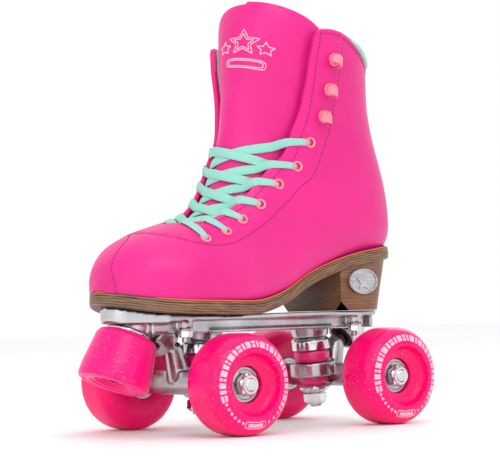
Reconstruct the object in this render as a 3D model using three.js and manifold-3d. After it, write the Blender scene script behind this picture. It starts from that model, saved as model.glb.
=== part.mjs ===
// Quad roller skate: a high lace-up boot on a laminated sole and stacked heel, bolted to a
// cast plate with two steering trucks, four wheels and an adjustable toe stop.
// Millimetres, +Z up, toe towards +X, wheels standing on z = 0.
import * as THREE from 'three';
import { mergeVertices } from 'three/addons/utils/BufferGeometryUtils.js';
import { ConvexGeometry } from 'three/addons/geometries/ConvexGeometry.js';
import Module from 'manifold-3d';

const wasm = await Module();
wasm.setup();

// ---------------------------------------------------------------- driving dimensions
const GAP = 0.3; // between pieces that touch

// Wheels and axles
const WHEEL_R = 31;
const WHEEL_WIDTH = 33.6;
const WHEEL_BASE = 123.7; // axle to axle
const TRACK = 114.7; // wheel centre to wheel centre
const SHOULDER_R = 10.5; // rounding of the wheel's edge
const DISH_R = 17; // radius where the wheel's face turns in to the hub
const DISH_DEPTH = 8.4;
const WHEEL_SIDES = 20;
const AXLE_R = 4;
const AXLE_PAST_NUT = 1;
const BEARING_R = 11;
const BEARING_WIDTH = 7;
const BEARING_SPAN = 14.5; // outer face of one bearing to inner face of the other, from the core
const OUTER_BEARING_Y = -0.5; // inner face of the outboard bearing, from the wheel's centre
const NUT_FLATS = 13;
const NUT_HEIGHT = 5.5;

// Trucks
const KINGPIN_R = 4;
const KINGPIN_TILT = 4.9; // degrees, foot leaning away from the middle of the skate
const KINGPIN_INBOARD = 14.95; // ring centre to axle, along X
const RING_ABOVE_AXLE = 4.5;
const RING_R = 15.5;
const RING_BORE_R = 7;
const RING_HEIGHT = 9;
const UPPER_CUSHION = { r: 12, height: 8 };
const LOWER_CUSHION = { r: 9.3, height: 6.5 };
const UPPER_WASHER = { r: 13, height: 8 };
const LOWER_WASHER = { r: 10.5, height: 3.6 };
const SWING_ROOM = 1.4; // round a washer, so that the hanger clears it at full steer
const KINGPIN_NUT = { r: 7.75, height: 7 };
const KINGPIN_HEAD = 5;
const KINGPIN_END = 2.5; // thread showing under the nut
const PIVOT_OUTBOARD = 13.65; // pivot ball to axle, along X
const PIVOT_ABOVE_AXLE = 27;
const PIVOT_R = 4.5;
const CUP = { wall: 3, mouth: 3.5, floor: 2 }; // mouth: how far it reaches past the ball's centre
const HANGER_TUBE_R = 7.6;
const HANGER_END_GAP = 0.55; // hanger to inboard bearing

// Plate
const PLATE_ABOVE_AXLE = 42.2; // plate's top face at the ball of the foot
const FLANGE = { thick: 3, half: 27.5, rear: -80, nose: 104, noseR: 15, shoulder: 14 };
const FLANGE_RISE = { from: 56, to: 66 }; // where the flange's top starts to follow the sole
const FRONT_BAND = { depth: 4, start: -2, ramp: 12 }; // deeper edge ahead of the front bolts
const RAIL = { outer: 17.5, wall: 4, depth: 11.2, lip: 2, front: 96 };
const RAIL_LIP = { rear: -48, front: 52, height: 2.2 };
const RIB = { places: [-22, 16], thick: 3, up: 1 };
const BOSS_R = 13; // kingpin boss where it meets the washer
const PAD_UP = 3; // bolt pads above the rails' lower edge
const PIVOT_BOSS = { wall: 2.5, web: 3, behind: 2, ahead: 9 };
const BOLT = { front: 74.5, rear: -65, side: 22.6, r: 2.5, head: 4.4, headHeight: 5, tail: 3 };

// Toe stop
const STOP_TILT = 22.9; // degrees, foot of the stop forward
const STOP_FOOT = { x: 114.6, below: 41.5, r: 22.5 }; // centre of the face that meets the ground
const STOP_TOP_R = 19.5;
const STOP_HEIGHT = 32.6;
const STEM_R = 7.9;
const STEM_FOOT = 3.3; // lower end of the stem, along the stop's axis from its foot
const STEM_TOP = 41.5; // and its upper end
const STOP_WASHER = { r: 14, height: 1.5 };
const STOP_BOSS = { lowR: 13.5, highR: 18 };

// Sole and heel
const SOLE_THICK = 7.8;
const SOLE_LINE = [ // upper edge of the sole, toe to heel: x, rise above the ball of the foot
  [124.5, 7.2], [96, 1.9], [60, 0], [28, 0], [-1, 7.3], [-25, 18.5], [-60, 29], [-106, 35.2],
];
const SOLE_PLAN = [ // half width of the sole, toe to heel: x, y
  [124.5, 0], [123, 7.5], [118, 17], [109, 27], [96, 36.5], [80, 43], [60, 46.5], [38, 45], [14, 38.5],
  [-12, 32], [-45, 31], [-72, 31.5], [-90, 27.5], [-100, 19], [-104.5, 9.5], [-106, 0],
];
const HEEL_BREAST_X = -47;
const HEEL_TAPER = 12; // how far the heel's back leans in at the bottom
const HEEL_INSET = 0.8;
const HEEL_CORNER = 6; // bevel on the breast's two lower corners
const BADGE = { length: 25, height: 17, thick: 2, x: -65, up: 19 };

// Boot: one row for each section from the toe round the heel to the collar.
// back/bottom point x, z; front/top point x, z, with z above the ball of the foot; half width; share of
// the depth where it is widest; fullness of the back/bottom curve; fullness of the front/top curve.
const BOOT_SECTIONS = [
  [122.5, 3, 123, 16, 7, 0.4, 2.6, 2],
  [120, 2, 120.5, 24, 14, 0.4, 3, 2.1],
  [115, 0, 115, 31, 21.5, 0.38, 3.4, 2.2],
  [107, -2, 106.5, 37.5, 29.5, 0.36, 3.6, 2.3],
  [96, -4, 95.5, 42.5, 36.5, 0.34, 3.6, 2.3],
  [83, -6, 82.5, 46.5, 42, 0.33, 3.6, 2.2],
  [69, -7, 70, 50, 45, 0.33, 3.6, 2.1],
  [54, -7.5, 58, 53.5, 46, 0.33, 3.6, 1.95],
  [37, -8, 49, 58.5, 44.5, 0.33, 3.5, 1.85],
  [17, -6, 42, 66, 41, 0.34, 3.3, 1.85],
  [-4, 1, 37.5, 75, 38.5, 0.36, 3.1, 1.85],
  [-27, 12, 34.5, 85, 37.5, 0.38, 2.9, 1.9],
  [-51, 19, 32.5, 94, 37, 0.4, 2.7, 1.95],
  [-75, 24, 31, 103, 36.5, 0.42, 2.6, 2],
  [-95, 28, 29.5, 111, 36.5, 0.43, 2.5, 2],
  [-105, 38, 28, 119, 36.5, 0.44, 2.45, 2.05],
  [-106.5, 53, 27, 126, 36.5, 0.45, 2.4, 2.1],
  [-104, 70, 26, 133, 37, 0.46, 2.35, 2.1],
  [-99, 86, 25, 140, 38, 0.47, 2.3, 2.1],
  [-93, 103, 24.5, 147.5, 39, 0.48, 2.3, 2.1],
  [-88.5, 120, 24, 155.5, 40.5, 0.49, 2.3, 2.1],
  [-87, 137, 23.5, 164, 41.5, 0.5, 2.3, 2.1],
  [-86.5, 153, 23, 173, 42.5, 0.5, 2.3, 2.1],
  [-86.5, 169, 22, 182, 43, 0.5, 2.3, 2.1],
  [-86.5, 183, 20, 194, 43, 0.5, 2.3, 2.1],
  [-86.5, 199, 17, 209, 43, 0.5, 2.3, 2.1],
];
const BOOT_SIDES = 26;
const LEATHER = 3;
const LINING = 2.2;
const TONGUE_THICK = 5;
const INSOLE_THICK = 3.5;
const BOARD_THICK = 2.5; // lasting board under the foot
// Top edge of the shaft, back to front: x, z above the ball of the foot
const COLLAR_LINE = [
  [-120, 150], [-92, 150.5], [-76, 155], [-60, 164], [-46, 171.5], [-34, 174], [-22, 173], [-8, 168],
  [60, 150],
];
const COLLAR_ROLL = 3.5; // how far the lining stands above the leather at the back
// Opening of the throat: section number, near edge and far edge in degrees round the section
const THROAT = [
  [5.7, 3, -3], [5.95, 14, -9], [6.95, 24, -18], [8.5, 32, -26], [10.8, 45, -34], [12.8, 51, -37],
  [14, 54, -38], [16, 58.5, -39], [18, 66, -40], [20, 73, -41], [22, 77.5, -42], [25, 79, -43],
];
const TONGUE_UNDER = 16; // degrees that the tongue runs under the near facing
const TONGUE_FAR = 21; // and under the far one
const TONGUE_CROWN = 1.9; // sections over which its top rounds off
const TONGUE_TOP = 24.05; // section number of the tongue's top
const EYELETS = [ // section number and degrees, lowest first
  [6.25, 48], [7.8, 46.5], [9.25, 49], [10.65, 56], [12.25, 60], [14.05, 63.5], [16.05, 70],
];
const HOOKS = [[18.15, 81], [19.8, 88.5], [21.4, 92.5]];
const FAR_SPREAD = 1.8; // the far facing is turned further round the shin than the near one,
const SPREAD_FROM = 9; // from this section
const SPREAD_TO = 15; // up to this one
const LACE = { width: 8, thick: 1.6, lift: 1.6 };
const LINING_LOW = 69; // lining's lower edge above the ball of the foot
const HOOK = { lift: 0.8, baseR: 4.6, neckR: 2.2, headR: 4.4, height: 7.6 };

// ---------------------------------------------------------------- worked-out values
const AXLE_X = WHEEL_BASE / 2;
const AXLE_Z = WHEEL_R;
const RING_Z = AXLE_Z + RING_ABOVE_AXLE;
const PIVOT_Z = AXLE_Z + PIVOT_ABOVE_AXLE;
const PLATE_TOP_Z = AXLE_Z + PLATE_ABOVE_AXLE;
const FLANGE_LOW = PLATE_TOP_Z - FLANGE.thick;
const RAIL_LOW = PLATE_TOP_Z - RAIL.depth;
const HEEL_BOTTOM_Z = PLATE_TOP_Z + GAP;
const BALL_Z = PLATE_TOP_Z + GAP + SOLE_THICK; // top of the sole at the ball of the foot
const WHEEL_Y = TRACK / 2;
const KINGPIN_X = AXLE_X - KINGPIN_INBOARD;
const PIVOT_X = AXLE_X + PIVOT_OUTBOARD;
const OUTER_FACE_Y = OUTER_BEARING_Y + BEARING_WIDTH;
const INNER_BEARING_Y = OUTER_BEARING_Y - BEARING_SPAN;
const NUT_Y = OUTER_FACE_Y + GAP;
const AXLE_HALF = WHEEL_Y + NUT_Y + NUT_HEIGHT + AXLE_PAST_NUT;
const HANGER_HALF = WHEEL_Y + INNER_BEARING_Y - HANGER_END_GAP;
const rad = THREE.MathUtils.degToRad;
const kingpinUp = new THREE.Vector3(-Math.sin(rad(KINGPIN_TILT)), 0, Math.cos(rad(KINGPIN_TILT)));
const ringCentre = new THREE.Vector3(KINGPIN_X, 0, RING_Z);
const pivotPoint = new THREE.Vector3(PIVOT_X, 0, PIVOT_Z);
const steerAxis = pivotPoint.clone().sub(ringCentre).normalize();
const stopUp = new THREE.Vector3(-Math.sin(rad(STOP_TILT)), 0, Math.cos(rad(STOP_TILT)));
const stopFoot = new THREE.Vector3(STOP_FOOT.x, 0, PLATE_TOP_Z - STOP_FOOT.below);
const REACH = 160; // past the skate in every direction

// ---------------------------------------------------------------- solids
const Y_AXIS = new THREE.Vector3(0, 1, 0);

function bare(geometry) {
  const flat = geometry.index ? geometry.toNonIndexed() : geometry.clone();
  flat.deleteAttribute('normal');
  flat.deleteAttribute('uv');
  return mergeVertices(flat, 1e-4);
}

function toSolid(geometry) {
  const clean = bare(geometry);
  const mesh = new wasm.Mesh({
    numProp: 3,
    vertProperties: new Float32Array(clean.attributes.position.array),
    triVerts: new Uint32Array(clean.index.array),
  });
  return new wasm.Manifold(mesh);
}

function toGeometry(solid) {
  const mesh = solid.getMesh();
  const geometry = new THREE.BufferGeometry();
  geometry.setAttribute('position', new THREE.BufferAttribute(new Float32Array(mesh.vertProperties), 3));
  geometry.setIndex(new THREE.BufferAttribute(new Uint32Array(mesh.triVerts), 1));
  return geometry;
}

function join(...geometries) {
  return toGeometry(geometries.map(toSolid).reduce((a, b) => a.add(b)));
}

function cut(body, ...tools) {
  return toGeometry(tools.map(toSolid).reduce((a, b) => a.subtract(b), toSolid(body)));
}

function common(...geometries) {
  return toGeometry(geometries.map(toSolid).reduce((a, b) => a.intersect(b)));
}

// A closed mesh from points and triangles, with its faces turned outwards.
function closedMesh(points, triangles) {
  let volume = 0;
  for (const [a, b, c] of triangles) {
    volume += points[a].dot(points[b].clone().cross(points[c]));
  }
  const turned = volume > 0 ? triangles : triangles.map(([a, b, c]) => [a, c, b]);
  const geometry = new THREE.BufferGeometry().setFromPoints(points);
  geometry.setIndex(turned.flat());
  return geometry;
}

// The same geometry with its faces turned outwards.
function outwards(geometry) {
  const clean = bare(geometry);
  const place = clean.attributes.position;
  const points = [];
  for (let i = 0; i < place.count; i += 1) points.push(new THREE.Vector3().fromBufferAttribute(place, i));
  const order = clean.index.array;
  const triangles = [];
  for (let i = 0; i < order.length; i += 3) {
    const [a, b, c] = order.slice(i, i + 3);
    if (a !== b && b !== c && c !== a) triangles.push([a, b, c]);
  }
  return closedMesh(points, triangles);
}

// A cylinder or cone between two points.
function rod(from, to, r1, r2 = r1, sides = 24) {
  const span = to.clone().sub(from);
  const geometry = new THREE.CylinderGeometry(r2, r1, span.length(), sides);
  geometry.applyQuaternion(new THREE.Quaternion().setFromUnitVectors(Y_AXIS, span.normalize()));
  const middle = from.clone().add(to).multiplyScalar(0.5);
  return geometry.translate(middle.x, middle.y, middle.z);
}

// A turned piece: profile of [radius, height] pairs that closes on itself, spun about an axis,
// with a flat, not an edge, at the top and bottom.
function turned(profile, origin, axis, sides = 24) {
  const points = [...profile, profile[0]].map(([r, h]) => new THREE.Vector2(r, h));
  const geometry = new THREE.LatheGeometry(points, sides, Math.PI / sides);
  geometry.applyQuaternion(new THREE.Quaternion().setFromUnitVectors(Y_AXIS, axis));
  return outwards(geometry.translate(origin.x, origin.y, origin.z));
}

function shapeOf(points) {
  return new THREE.Shape(points.map(([u, v]) => new THREE.Vector2(u, v)));
}

// An outline of [x, z] pairs, made solid across the skate.
function sideSlab(points, half) {
  const geometry = new THREE.ExtrudeGeometry(shapeOf(points), { depth: 2 * half, bevelEnabled: false });
  return geometry.rotateX(Math.PI / 2).translate(0, half, 0);
}

// An outline of [x, y] pairs, made solid between two heights.
function planSlab(points, low, high) {
  const geometry = new THREE.ExtrudeGeometry(shapeOf(points), { depth: high - low, bevelEnabled: false });
  return geometry.translate(0, 0, low);
}

function box(x0, x1, y0, y1, z0, z1) {
  const geometry = new THREE.BoxGeometry(x1 - x0, y1 - y0, z1 - z0);
  return geometry.translate((x0 + x1) / 2, (y0 + y1) / 2, (z0 + z1) / 2);
}

// Values between rows whose first column is the position, on straight lines from row to row.
function along(rows, at) {
  const last = rows.length - 1;
  const rising = rows[last][0] > rows[0][0];
  let i = 0;
  while (i < last - 1 && (rising ? at > rows[i + 1][0] : at < rows[i + 1][0])) i += 1;
  const t = THREE.MathUtils.clamp((at - rows[i][0]) / (rows[i + 1][0] - rows[i][0]), 0, 1);
  return rows[i].slice(1).map((value, c) => value + (rows[i + 1][c + 1] - value) * t);
}

function spline(points, count) {
  const places = points.map(([u, v]) => new THREE.Vector3(u, v, 0));
  const curve = new THREE.CatmullRomCurve3(places, false, 'centripetal');
  return curve.getPoints(count).map((p) => [p.x, p.y]);
}

// ---------------------------------------------------------------- boot form
const LAST_SECTION = BOOT_SECTIONS.length - 1;

function sectionAt(k) {
  const i = Math.min(Math.floor(k), LAST_SECTION - 1);
  const t = k - i;
  const row = (j) => BOOT_SECTIONS[THREE.MathUtils.clamp(j, 0, LAST_SECTION)];
  return row(i).map((b, c) => {
    const [a, n, d] = [row(i - 1)[c], row(i + 1)[c], row(i + 2)[c]];
    const bend = (2 * a - 5 * b + 4 * n - d) * t ** 2 + (3 * b - a - 3 * n + d) * t ** 3;
    return 0.5 * (2 * b + (n - a) * t + bend);
  });
}

// A point on the boot: section k, angle in degrees from the front, depth under the surface.
function bootPoint(k, degrees, depth = 0) {
  const [backX, backZ, frontX, frontZ, half, widest, fullBack, fullFront] = sectionAt(k);
  const length = Math.hypot(frontX - backX, frontZ - backZ);
  const c = Math.cos(rad(degrees));
  const s = Math.sin(rad(degrees));
  const full = c >= 0 ? fullFront : fullBack;
  const reach = (c >= 0 ? (1 - widest) * length : widest * length) - depth;
  const run = widest * length + Math.sign(c) * reach * Math.abs(c) ** (2 / full);
  const side = (half - depth) * Math.sign(s) * Math.abs(s) ** (2 / full);
  return new THREE.Vector3(
    backX + ((frontX - backX) * run) / length,
    side,
    BALL_Z + backZ + ((frontZ - backZ) * run) / length,
  );
}

// The direction straight out of the boot at a place on it.
function bootOutward(k, degrees) {
  const step = 0.05;
  const run = bootPoint(k + step, degrees).sub(bootPoint(k - step, degrees));
  const turn = bootPoint(k, degrees + 20 * step).sub(bootPoint(k, degrees - 20 * step));
  return turn.cross(run).normalize();
}

function steps(from, to, count) {
  return Array.from({ length: count + 1 }, (_, i) => from + ((to - from) * i) / count);
}

// The whole boot form at a depth, closed over both ends.
function bootForm(depth, fromSection) {
  const rows = LAST_SECTION - fromSection;
  const sides = BOOT_SIDES;
  const sections = steps(fromSection, LAST_SECTION, rows);
  const points = sections.flatMap((k) => steps(-180, 180, sides).slice(1).map((a) => bootPoint(k, a, depth)));
  const triangles = [];
  for (let r = 0; r < rows; r += 1) {
    for (let j = 0; j < sides; j += 1) {
      const [a, b] = [r * sides + j, r * sides + ((j + 1) % sides)];
      triangles.push([a, b, a + sides], [b, b + sides, a + sides]);
    }
  }
  for (const [first, turn] of [[0, 1], [rows * sides, -1]]) {
    const centre = new THREE.Vector3();
    points.slice(first, first + sides).forEach((p) => centre.addScaledVector(p, 1 / sides));
    const hub = points.push(centre) - 1;
    for (let j = 0; j < sides; j += 1) {
      const [a, b] = [first + j, first + ((j + 1) % sides)];
      triangles.push(turn > 0 ? [hub, b, a] : [hub, a, b]);
    }
  }
  return closedMesh(points, triangles);
}

// A curved slab between two grids of points with the same rows and columns.
function slabBetween(outer, inner) {
  const rows = outer.length;
  const columns = outer[0].length;
  const points = [...outer.flat(), ...inner.flat()];
  const under = rows * columns;
  const triangles = [];
  const quad = (a, b, c, d) => triangles.push([a, b, c], [a, c, d]);
  for (let r = 0; r < rows - 1; r += 1) {
    for (let c = 0; c < columns - 1; c += 1) {
      const a = r * columns + c;
      quad(a, a + 1, a + columns + 1, a + columns);
      quad(under + a, under + a + columns, under + a + columns + 1, under + a + 1);
    }
  }
  const rim = [];
  for (let c = 0; c < columns - 1; c += 1) rim.push(c);
  for (let r = 0; r < rows - 1; r += 1) rim.push(r * columns + columns - 1);
  for (let c = columns - 1; c > 0; c -= 1) rim.push((rows - 1) * columns + c);
  for (let r = rows - 1; r > 0; r -= 1) rim.push(r * columns);
  rim.forEach((a, i) => {
    const b = rim[(i + 1) % rim.length];
    quad(a, a + under, b + under, b);
  });
  return closedMesh(points, triangles);
}

function throatWedge(growDegrees, outerDepth, innerDepth) {
  const grid = (depth) => steps(THROAT[0][0], LAST_SECTION, 20).map((k) => {
    const [near, far] = along(THROAT, k);
    return steps(far - growDegrees, near + growDegrees, 8).map((a) => bootPoint(k, a, depth));
  });
  return slabBetween(grid(outerDepth), grid(innerDepth));
}

// ---------------------------------------------------------------- sole lines
const soleLine = spline(SOLE_LINE, 28);

// Everything below the sole's upper edge, moved up by an amount.
function belowSole(raise) {
  const edge = soleLine.map(([x, z]) => [x, BALL_Z + z + raise]);
  const ends = [edge[0][1], edge[edge.length - 1][1]];
  return sideSlab([[REACH, ends[0]], ...edge, [-REACH, ends[1]], [-REACH, -REACH], [REACH, -REACH]], REACH);
}

function aboveLine(line) {
  const raised = line.map(([x, z]) => [x, BALL_Z + z]);
  return sideSlab([...raised, [line[line.length - 1][0], 2 * REACH], [line[0][0], 2 * REACH]], REACH);
}

// Sole outline grown or shrunk by an amount, near side then far side.
function solePlan(grow) {
  const half = spline(SOLE_PLAN, 34);
  const side = half.slice(1, -1).map(([x, y]) => [x + (grow * (x - 8)) / 110, y + grow]);
  const tip = [half[0][0] + grow, 0];
  const rear = [half[half.length - 1][0] - grow, 0];
  return [tip, ...side.map(([x, y]) => [x, -y]), rear, ...side.toReversed()];
}

// ---------------------------------------------------------------- materials
function finish(color, roughness, metalness = 0) {
  return new THREE.MeshStandardMaterial({ color, roughness, metalness });
}
const leatherPink = finish(0xe8258c, 0.5);
const tonguePink = finish(0xf02e97, 0.5);
const mint = finish(0xa8e0cd, 0.85);
const footbed = finish(0x3a3a3e, 0.9);
const laminate = finish(0x6f5138, 0.55);
const nickel = finish(0xc9c9cc, 0.25, 1);
const hookPink = finish(0xf4768a, 0.35, 0.3);
const castAluminium = finish(0xc4c5c8, 0.4, 0.9);
const chrome = finish(0xd8d8dc, 0.12, 1);
const urethane = finish(0xff1a7c, 0.3);
const cushionPink = finish(0xf0508f, 0.5);
const cupRubber = finish(0x2a2a2c, 0.8);
const bearingSteel = finish(0xb4b4b8, 0.3, 1);

const skate = new THREE.Group();

function add(parent, name, geometry, material) {
  const mesh = new THREE.Mesh(geometry, material);
  mesh.name = name;
  parent.add(mesh);
  return mesh;
}

// ---------------------------------------------------------------- boot
function bootUpper() {
  const outside = bootForm(0, 0);
  const inside = cut(bootForm(LEATHER, 2), belowSole(GAP + BOARD_THICK));
  const opening = throatWedge(0, -10, 16);
  return cut(outside, belowSole(GAP), inside, opening, aboveLine(COLLAR_LINE));
}

function collarLining() {
  const depth = LEATHER + GAP + 0.1;
  const outside = bootForm(depth, 4);
  const inside = bootForm(depth + LINING, 4);
  const roll = COLLAR_LINE.map(([x, z], i) => [x, z + (i < 4 ? COLLAR_ROLL : 0)]);
  const low = box(-REACH, REACH, -REACH, REACH, -REACH, BALL_Z + LINING_LOW);
  return cut(outside, inside, low, throatWedge(1.5, -10, 20), aboveLine(roll));
}

function tongueGrid(depth) {
  const rows = steps(THROAT[0][0] + 0.5, TONGUE_TOP, 22);
  return rows.map((k) => {
    const [near, far] = along(THROAT, k);
    const [left, right] = [near + TONGUE_UNDER, far - TONGUE_FAR];
    const middle = (left + right) / 2;
    const reach = (left - right) / 2;
    const fade = THREE.MathUtils.clamp((k - (TONGUE_TOP - TONGUE_CROWN)) / TONGUE_CROWN, 0, 1);
    const share = Math.max(0.34, Math.sqrt(1 - fade ** 2.2));
    return steps(middle - reach * share, middle + reach * share, 10).map((a) => bootPoint(k, a, depth));
  });
}

function tongue() {
  const depth = LEATHER + LINING + 3 * GAP;
  return slabBetween(tongueGrid(depth), tongueGrid(depth + TONGUE_THICK));
}

function insole() {
  const depth = LEATHER + GAP;
  const low = GAP + BOARD_THICK + GAP;
  const body = cut(bootForm(depth, 2), belowSole(low));
  return common(body, belowSole(low + INSOLE_THICK));
}

add(skate, 'boot_upper', bootUpper(), leatherPink);
add(skate, 'collar_lining', collarLining(), mint);
add(skate, 'tongue', tongue(), tonguePink);
add(skate, 'insole', insole(), footbed);

// Flat ribbon over the boot's surface between two places given as section and degrees.
function ribbon(from, to) {
  const count = 5;
  const rings = steps(0, 1, count).map((t) => {
    const k = from[0] + (to[0] - from[0]) * t;
    const a = from[1] + (to[1] - from[1]) * t;
    const outward = bootOutward(k, a);
    const centre = bootPoint(k, a).addScaledVector(outward, LACE.lift + LACE.thick / 2);
    const slope = [(to[0] - from[0]) * 0.01, (to[1] - from[1]) * 0.01];
    const ahead = bootPoint(k + slope[0], a + slope[1]).sub(bootPoint(k, a)).normalize();
    const across = ahead.clone().cross(outward).normalize();
    const corner = (u, v) => centre.clone().addScaledVector(across, u).addScaledVector(outward, v);
    const [w, h] = [LACE.width / 2, LACE.thick / 2];
    return [corner(-w, -h), corner(w, -h), corner(w, h), corner(-w, h)];
  });
  const triangles = [[0, 1, 2], [0, 2, 3]];
  for (let r = 0; r < count; r += 1) {
    for (let j = 0; j < 4; j += 1) {
      const [a, b] = [4 * r + j, 4 * r + ((j + 1) % 4)];
      triangles.push([a, a + 4, b], [b, a + 4, b + 4]);
    }
  }
  const end = 4 * count;
  triangles.push([end, end + 2, end + 1], [end, end + 3, end + 2]);
  return closedMesh(rings.flat(), triangles);
}

// The place on the far side that answers a place on the near side.
function farSide([k, degrees]) {
  const [near, far] = along(THROAT, k);
  const spread = 1 + (FAR_SPREAD - 1) * THREE.MathUtils.smoothstep(k, SPREAD_FROM, SPREAD_TO);
  return [k, far - spread * (degrees - near)];
}

// The lace's zigzag from side to side; its second crossing follows the same rows.
function lace() {
  const near = (i) => EYELETS[i];
  const far = (i) => farSide(EYELETS[i]);
  const runs = [ribbon(near(0), far(0))];
  for (let i = 0; i < EYELETS.length - 1; i += 1) {
    runs.push(i % 2 === 0 ? ribbon(near(i), far(i + 1)) : ribbon(far(i), near(i + 1)));
  }
  return join(...runs);
}

add(skate, 'lace', lace(), mint);

function laceHook(k, degrees) {
  const outward = bootOutward(k, degrees);
  const seat = bootPoint(k, degrees).addScaledVector(outward, HOOK.lift);
  const { baseR, neckR, headR, height } = HOOK;
  return turned([
    [0, 0], [baseR, 0], [baseR, 1], [neckR, 1.6], [neckR, height - 3], [headR, height - 2.2],
    [headR, height - 0.8], [headR - 1, height], [0, height],
  ], seat, outward, 10);
}

HOOKS.forEach((place, i) => {
  add(skate, `lace_hook_left_${i + 1}`, laceHook(...place), hookPink);
  add(skate, `lace_hook_right_${i + 1}`, laceHook(...farSide(place)), hookPink);
});

// ---------------------------------------------------------------- sole and heel
function outsole() {
  const block = planSlab(solePlan(0), AXLE_Z, BALL_Z + REACH);
  return cut(common(block, belowSole(0)), belowSole(-SOLE_THICK));
}

function heelBlock() {
  const bottomZ = HEEL_BOTTOM_Z;
  const topZ = BALL_Z + SOLE_LINE[SOLE_LINE.length - 1][1];
  const rear = SOLE_PLAN[SOLE_PLAN.length - 1][0];
  const block = planSlab(solePlan(-HEEL_INSET), bottomZ, topZ);
  const place = block.attributes.position;
  for (let i = 0; i < place.count; i += 1) {
    const back = (HEEL_BREAST_X - place.getX(i)) / (HEEL_BREAST_X - rear);
    if (place.getZ(i) < topZ - 1 && back > 0) place.setX(i, place.getX(i) + HEEL_TAPER * back);
  }
  const behind = box(-REACH, HEEL_BREAST_X, -REACH, REACH, bottomZ, topZ);
  const body = common(block, behind, belowSole(-SOLE_THICK - GAP));
  const half = along(SOLE_PLAN, HEEL_BREAST_X)[0];
  const corners = [-1, 1].map((s) => new ConvexGeometry([
    new THREE.Vector3(HEEL_BREAST_X + 3, s * (half + 3), bottomZ - 3),
    new THREE.Vector3(HEEL_BREAST_X + 3, s * (half + 3), bottomZ + HEEL_CORNER + 3),
    new THREE.Vector3(HEEL_BREAST_X - HEEL_CORNER - 3, s * (half + 3), bottomZ - 3),
    new THREE.Vector3(HEEL_BREAST_X + 3, s * (half - HEEL_CORNER - 3), bottomZ - 3),
  ]));
  return cut(body, ...corners);
}

function heelBadge() {
  const shape = new THREE.Shape().absellipse(0, 0, BADGE.length / 2, BADGE.height / 2, 0, 2 * Math.PI);
  const options = { depth: BADGE.thick, bevelEnabled: false, curveSegments: 16 };
  const plaque = new THREE.ExtrudeGeometry(shape, options);
  const beside = solePlan(-HEEL_INSET).filter(([x]) => Math.abs(x - BADGE.x) < BADGE.length);
  const seat = Math.max(...beside.map(([, y]) => y));
  return plaque.rotateX(Math.PI / 2).translate(BADGE.x, seat + GAP + BADGE.thick, HEEL_BOTTOM_Z + BADGE.up);
}

add(skate, 'outsole', outsole(), laminate);
add(skate, 'heel_block', heelBlock(), laminate);
add(skate, 'heel_badge', heelBadge(), nickel);

// ---------------------------------------------------------------- plate
// A point on the kingpin's axis, measured up from the middle of the hanger's ring.
const onKingpin = (height) => ringCentre.clone().addScaledVector(kingpinUp, height);
const halfRing = RING_HEIGHT / 2;
const upperCushionLow = halfRing + GAP;
const upperWasherLow = upperCushionLow + UPPER_CUSHION.height + GAP;
const bossLow = upperWasherLow + UPPER_WASHER.height + GAP;
const lowerCushionTop = -halfRing - GAP;
const lowerWasherTop = lowerCushionTop - LOWER_CUSHION.height - GAP;
const nutTop = lowerWasherTop - LOWER_WASHER.height - GAP;
const bossTop = (PLATE_TOP_Z - FLANGE.thick - RING_Z) / kingpinUp.z;
const cupR = PIVOT_R + GAP + CUP.wall;
const cupTop = PIVOT_R + GAP + CUP.floor;
const onSteerAxis = (distance) => pivotPoint.clone().addScaledVector(steerAxis, distance);
const onStop = (height) => stopFoot.clone().addScaledVector(stopUp, height);
const stopBossLow = STOP_HEIGHT + STOP_WASHER.height + 2 * GAP;

// The same piece at the other end of the skate, turned half round.
function otherEnd(geometry) {
  return geometry.clone().rotateZ(Math.PI);
}

// The four places of the bolts that hold the boot on the plate.
const boltPlaces = [
  ['front_left', BOLT.front, BOLT.side], ['front_right', BOLT.front, -BOLT.side],
  ['rear_left', BOLT.rear, BOLT.side], ['rear_right', BOLT.rear, -BOLT.side],
];
const padLow = RAIL_LOW + PAD_UP; // seat of the bolts' nuts
const upright = (x, y, low, high, r, sides) => rod(
  new THREE.Vector3(x, y, low),
  new THREE.Vector3(x, y, high),
  r,
  r,
  sides,
);

function flange() {
  const { half, rear, nose, noseR, shoulder } = FLANGE;
  const plan = [[rear, -half], [nose - shoulder, -half]];
  for (const a of steps(-60, 60, 8)) {
    plan.push([nose + noseR * Math.cos(rad(a)), noseR * Math.sin(rad(a))]);
  }
  plan.push([nose - shoulder, half], [rear, half]);
  const high = BALL_Z + SOLE_LINE[0][1];
  const bandLow = PLATE_TOP_Z - FRONT_BAND.depth;
  const bandStart = BOLT.front + FRONT_BAND.start;
  const outline = sideSlab([[rear, FLANGE_LOW], [rear, PLATE_TOP_Z], [FLANGE_RISE.from, PLATE_TOP_Z],
    [FLANGE_RISE.to, high], [REACH, high], [REACH, bandLow], [bandStart + FRONT_BAND.ramp, bandLow],
    [bandStart, FLANGE_LOW]], REACH);
  return common(planSlab(plan, RAIL_LOW, high), outline, belowSole(-SOLE_THICK - GAP));
}

function rails() {
  const { outer, wall, lip, front } = RAIL;
  const top = FLANGE_LOW + 1;
  const endHalf = FLANGE.half - FLANGE.thick;
  const pieces = [box(FLANGE.rear, FLANGE.rear + FLANGE.thick, -endHalf, endHalf, RAIL_LOW, top)];
  for (const s of [-1, 1]) {
    const [inside, face, edge] = [s * (outer - wall), s * outer, s * (outer + lip)];
    pieces.push(box(FLANGE.rear, front, Math.min(inside, face), Math.max(inside, face), RAIL_LOW, top));
    pieces.push(box(RAIL_LIP.rear, RAIL_LIP.front, Math.min(inside, edge), Math.max(inside, edge),
      RAIL_LOW, RAIL_LOW + RAIL_LIP.height));
  }
  for (const x of RIB.places) {
    pieces.push(box(x, x + RIB.thick, -outer + 1, outer - 1, RAIL_LOW + RIB.up, top));
  }
  return pieces;
}

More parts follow.
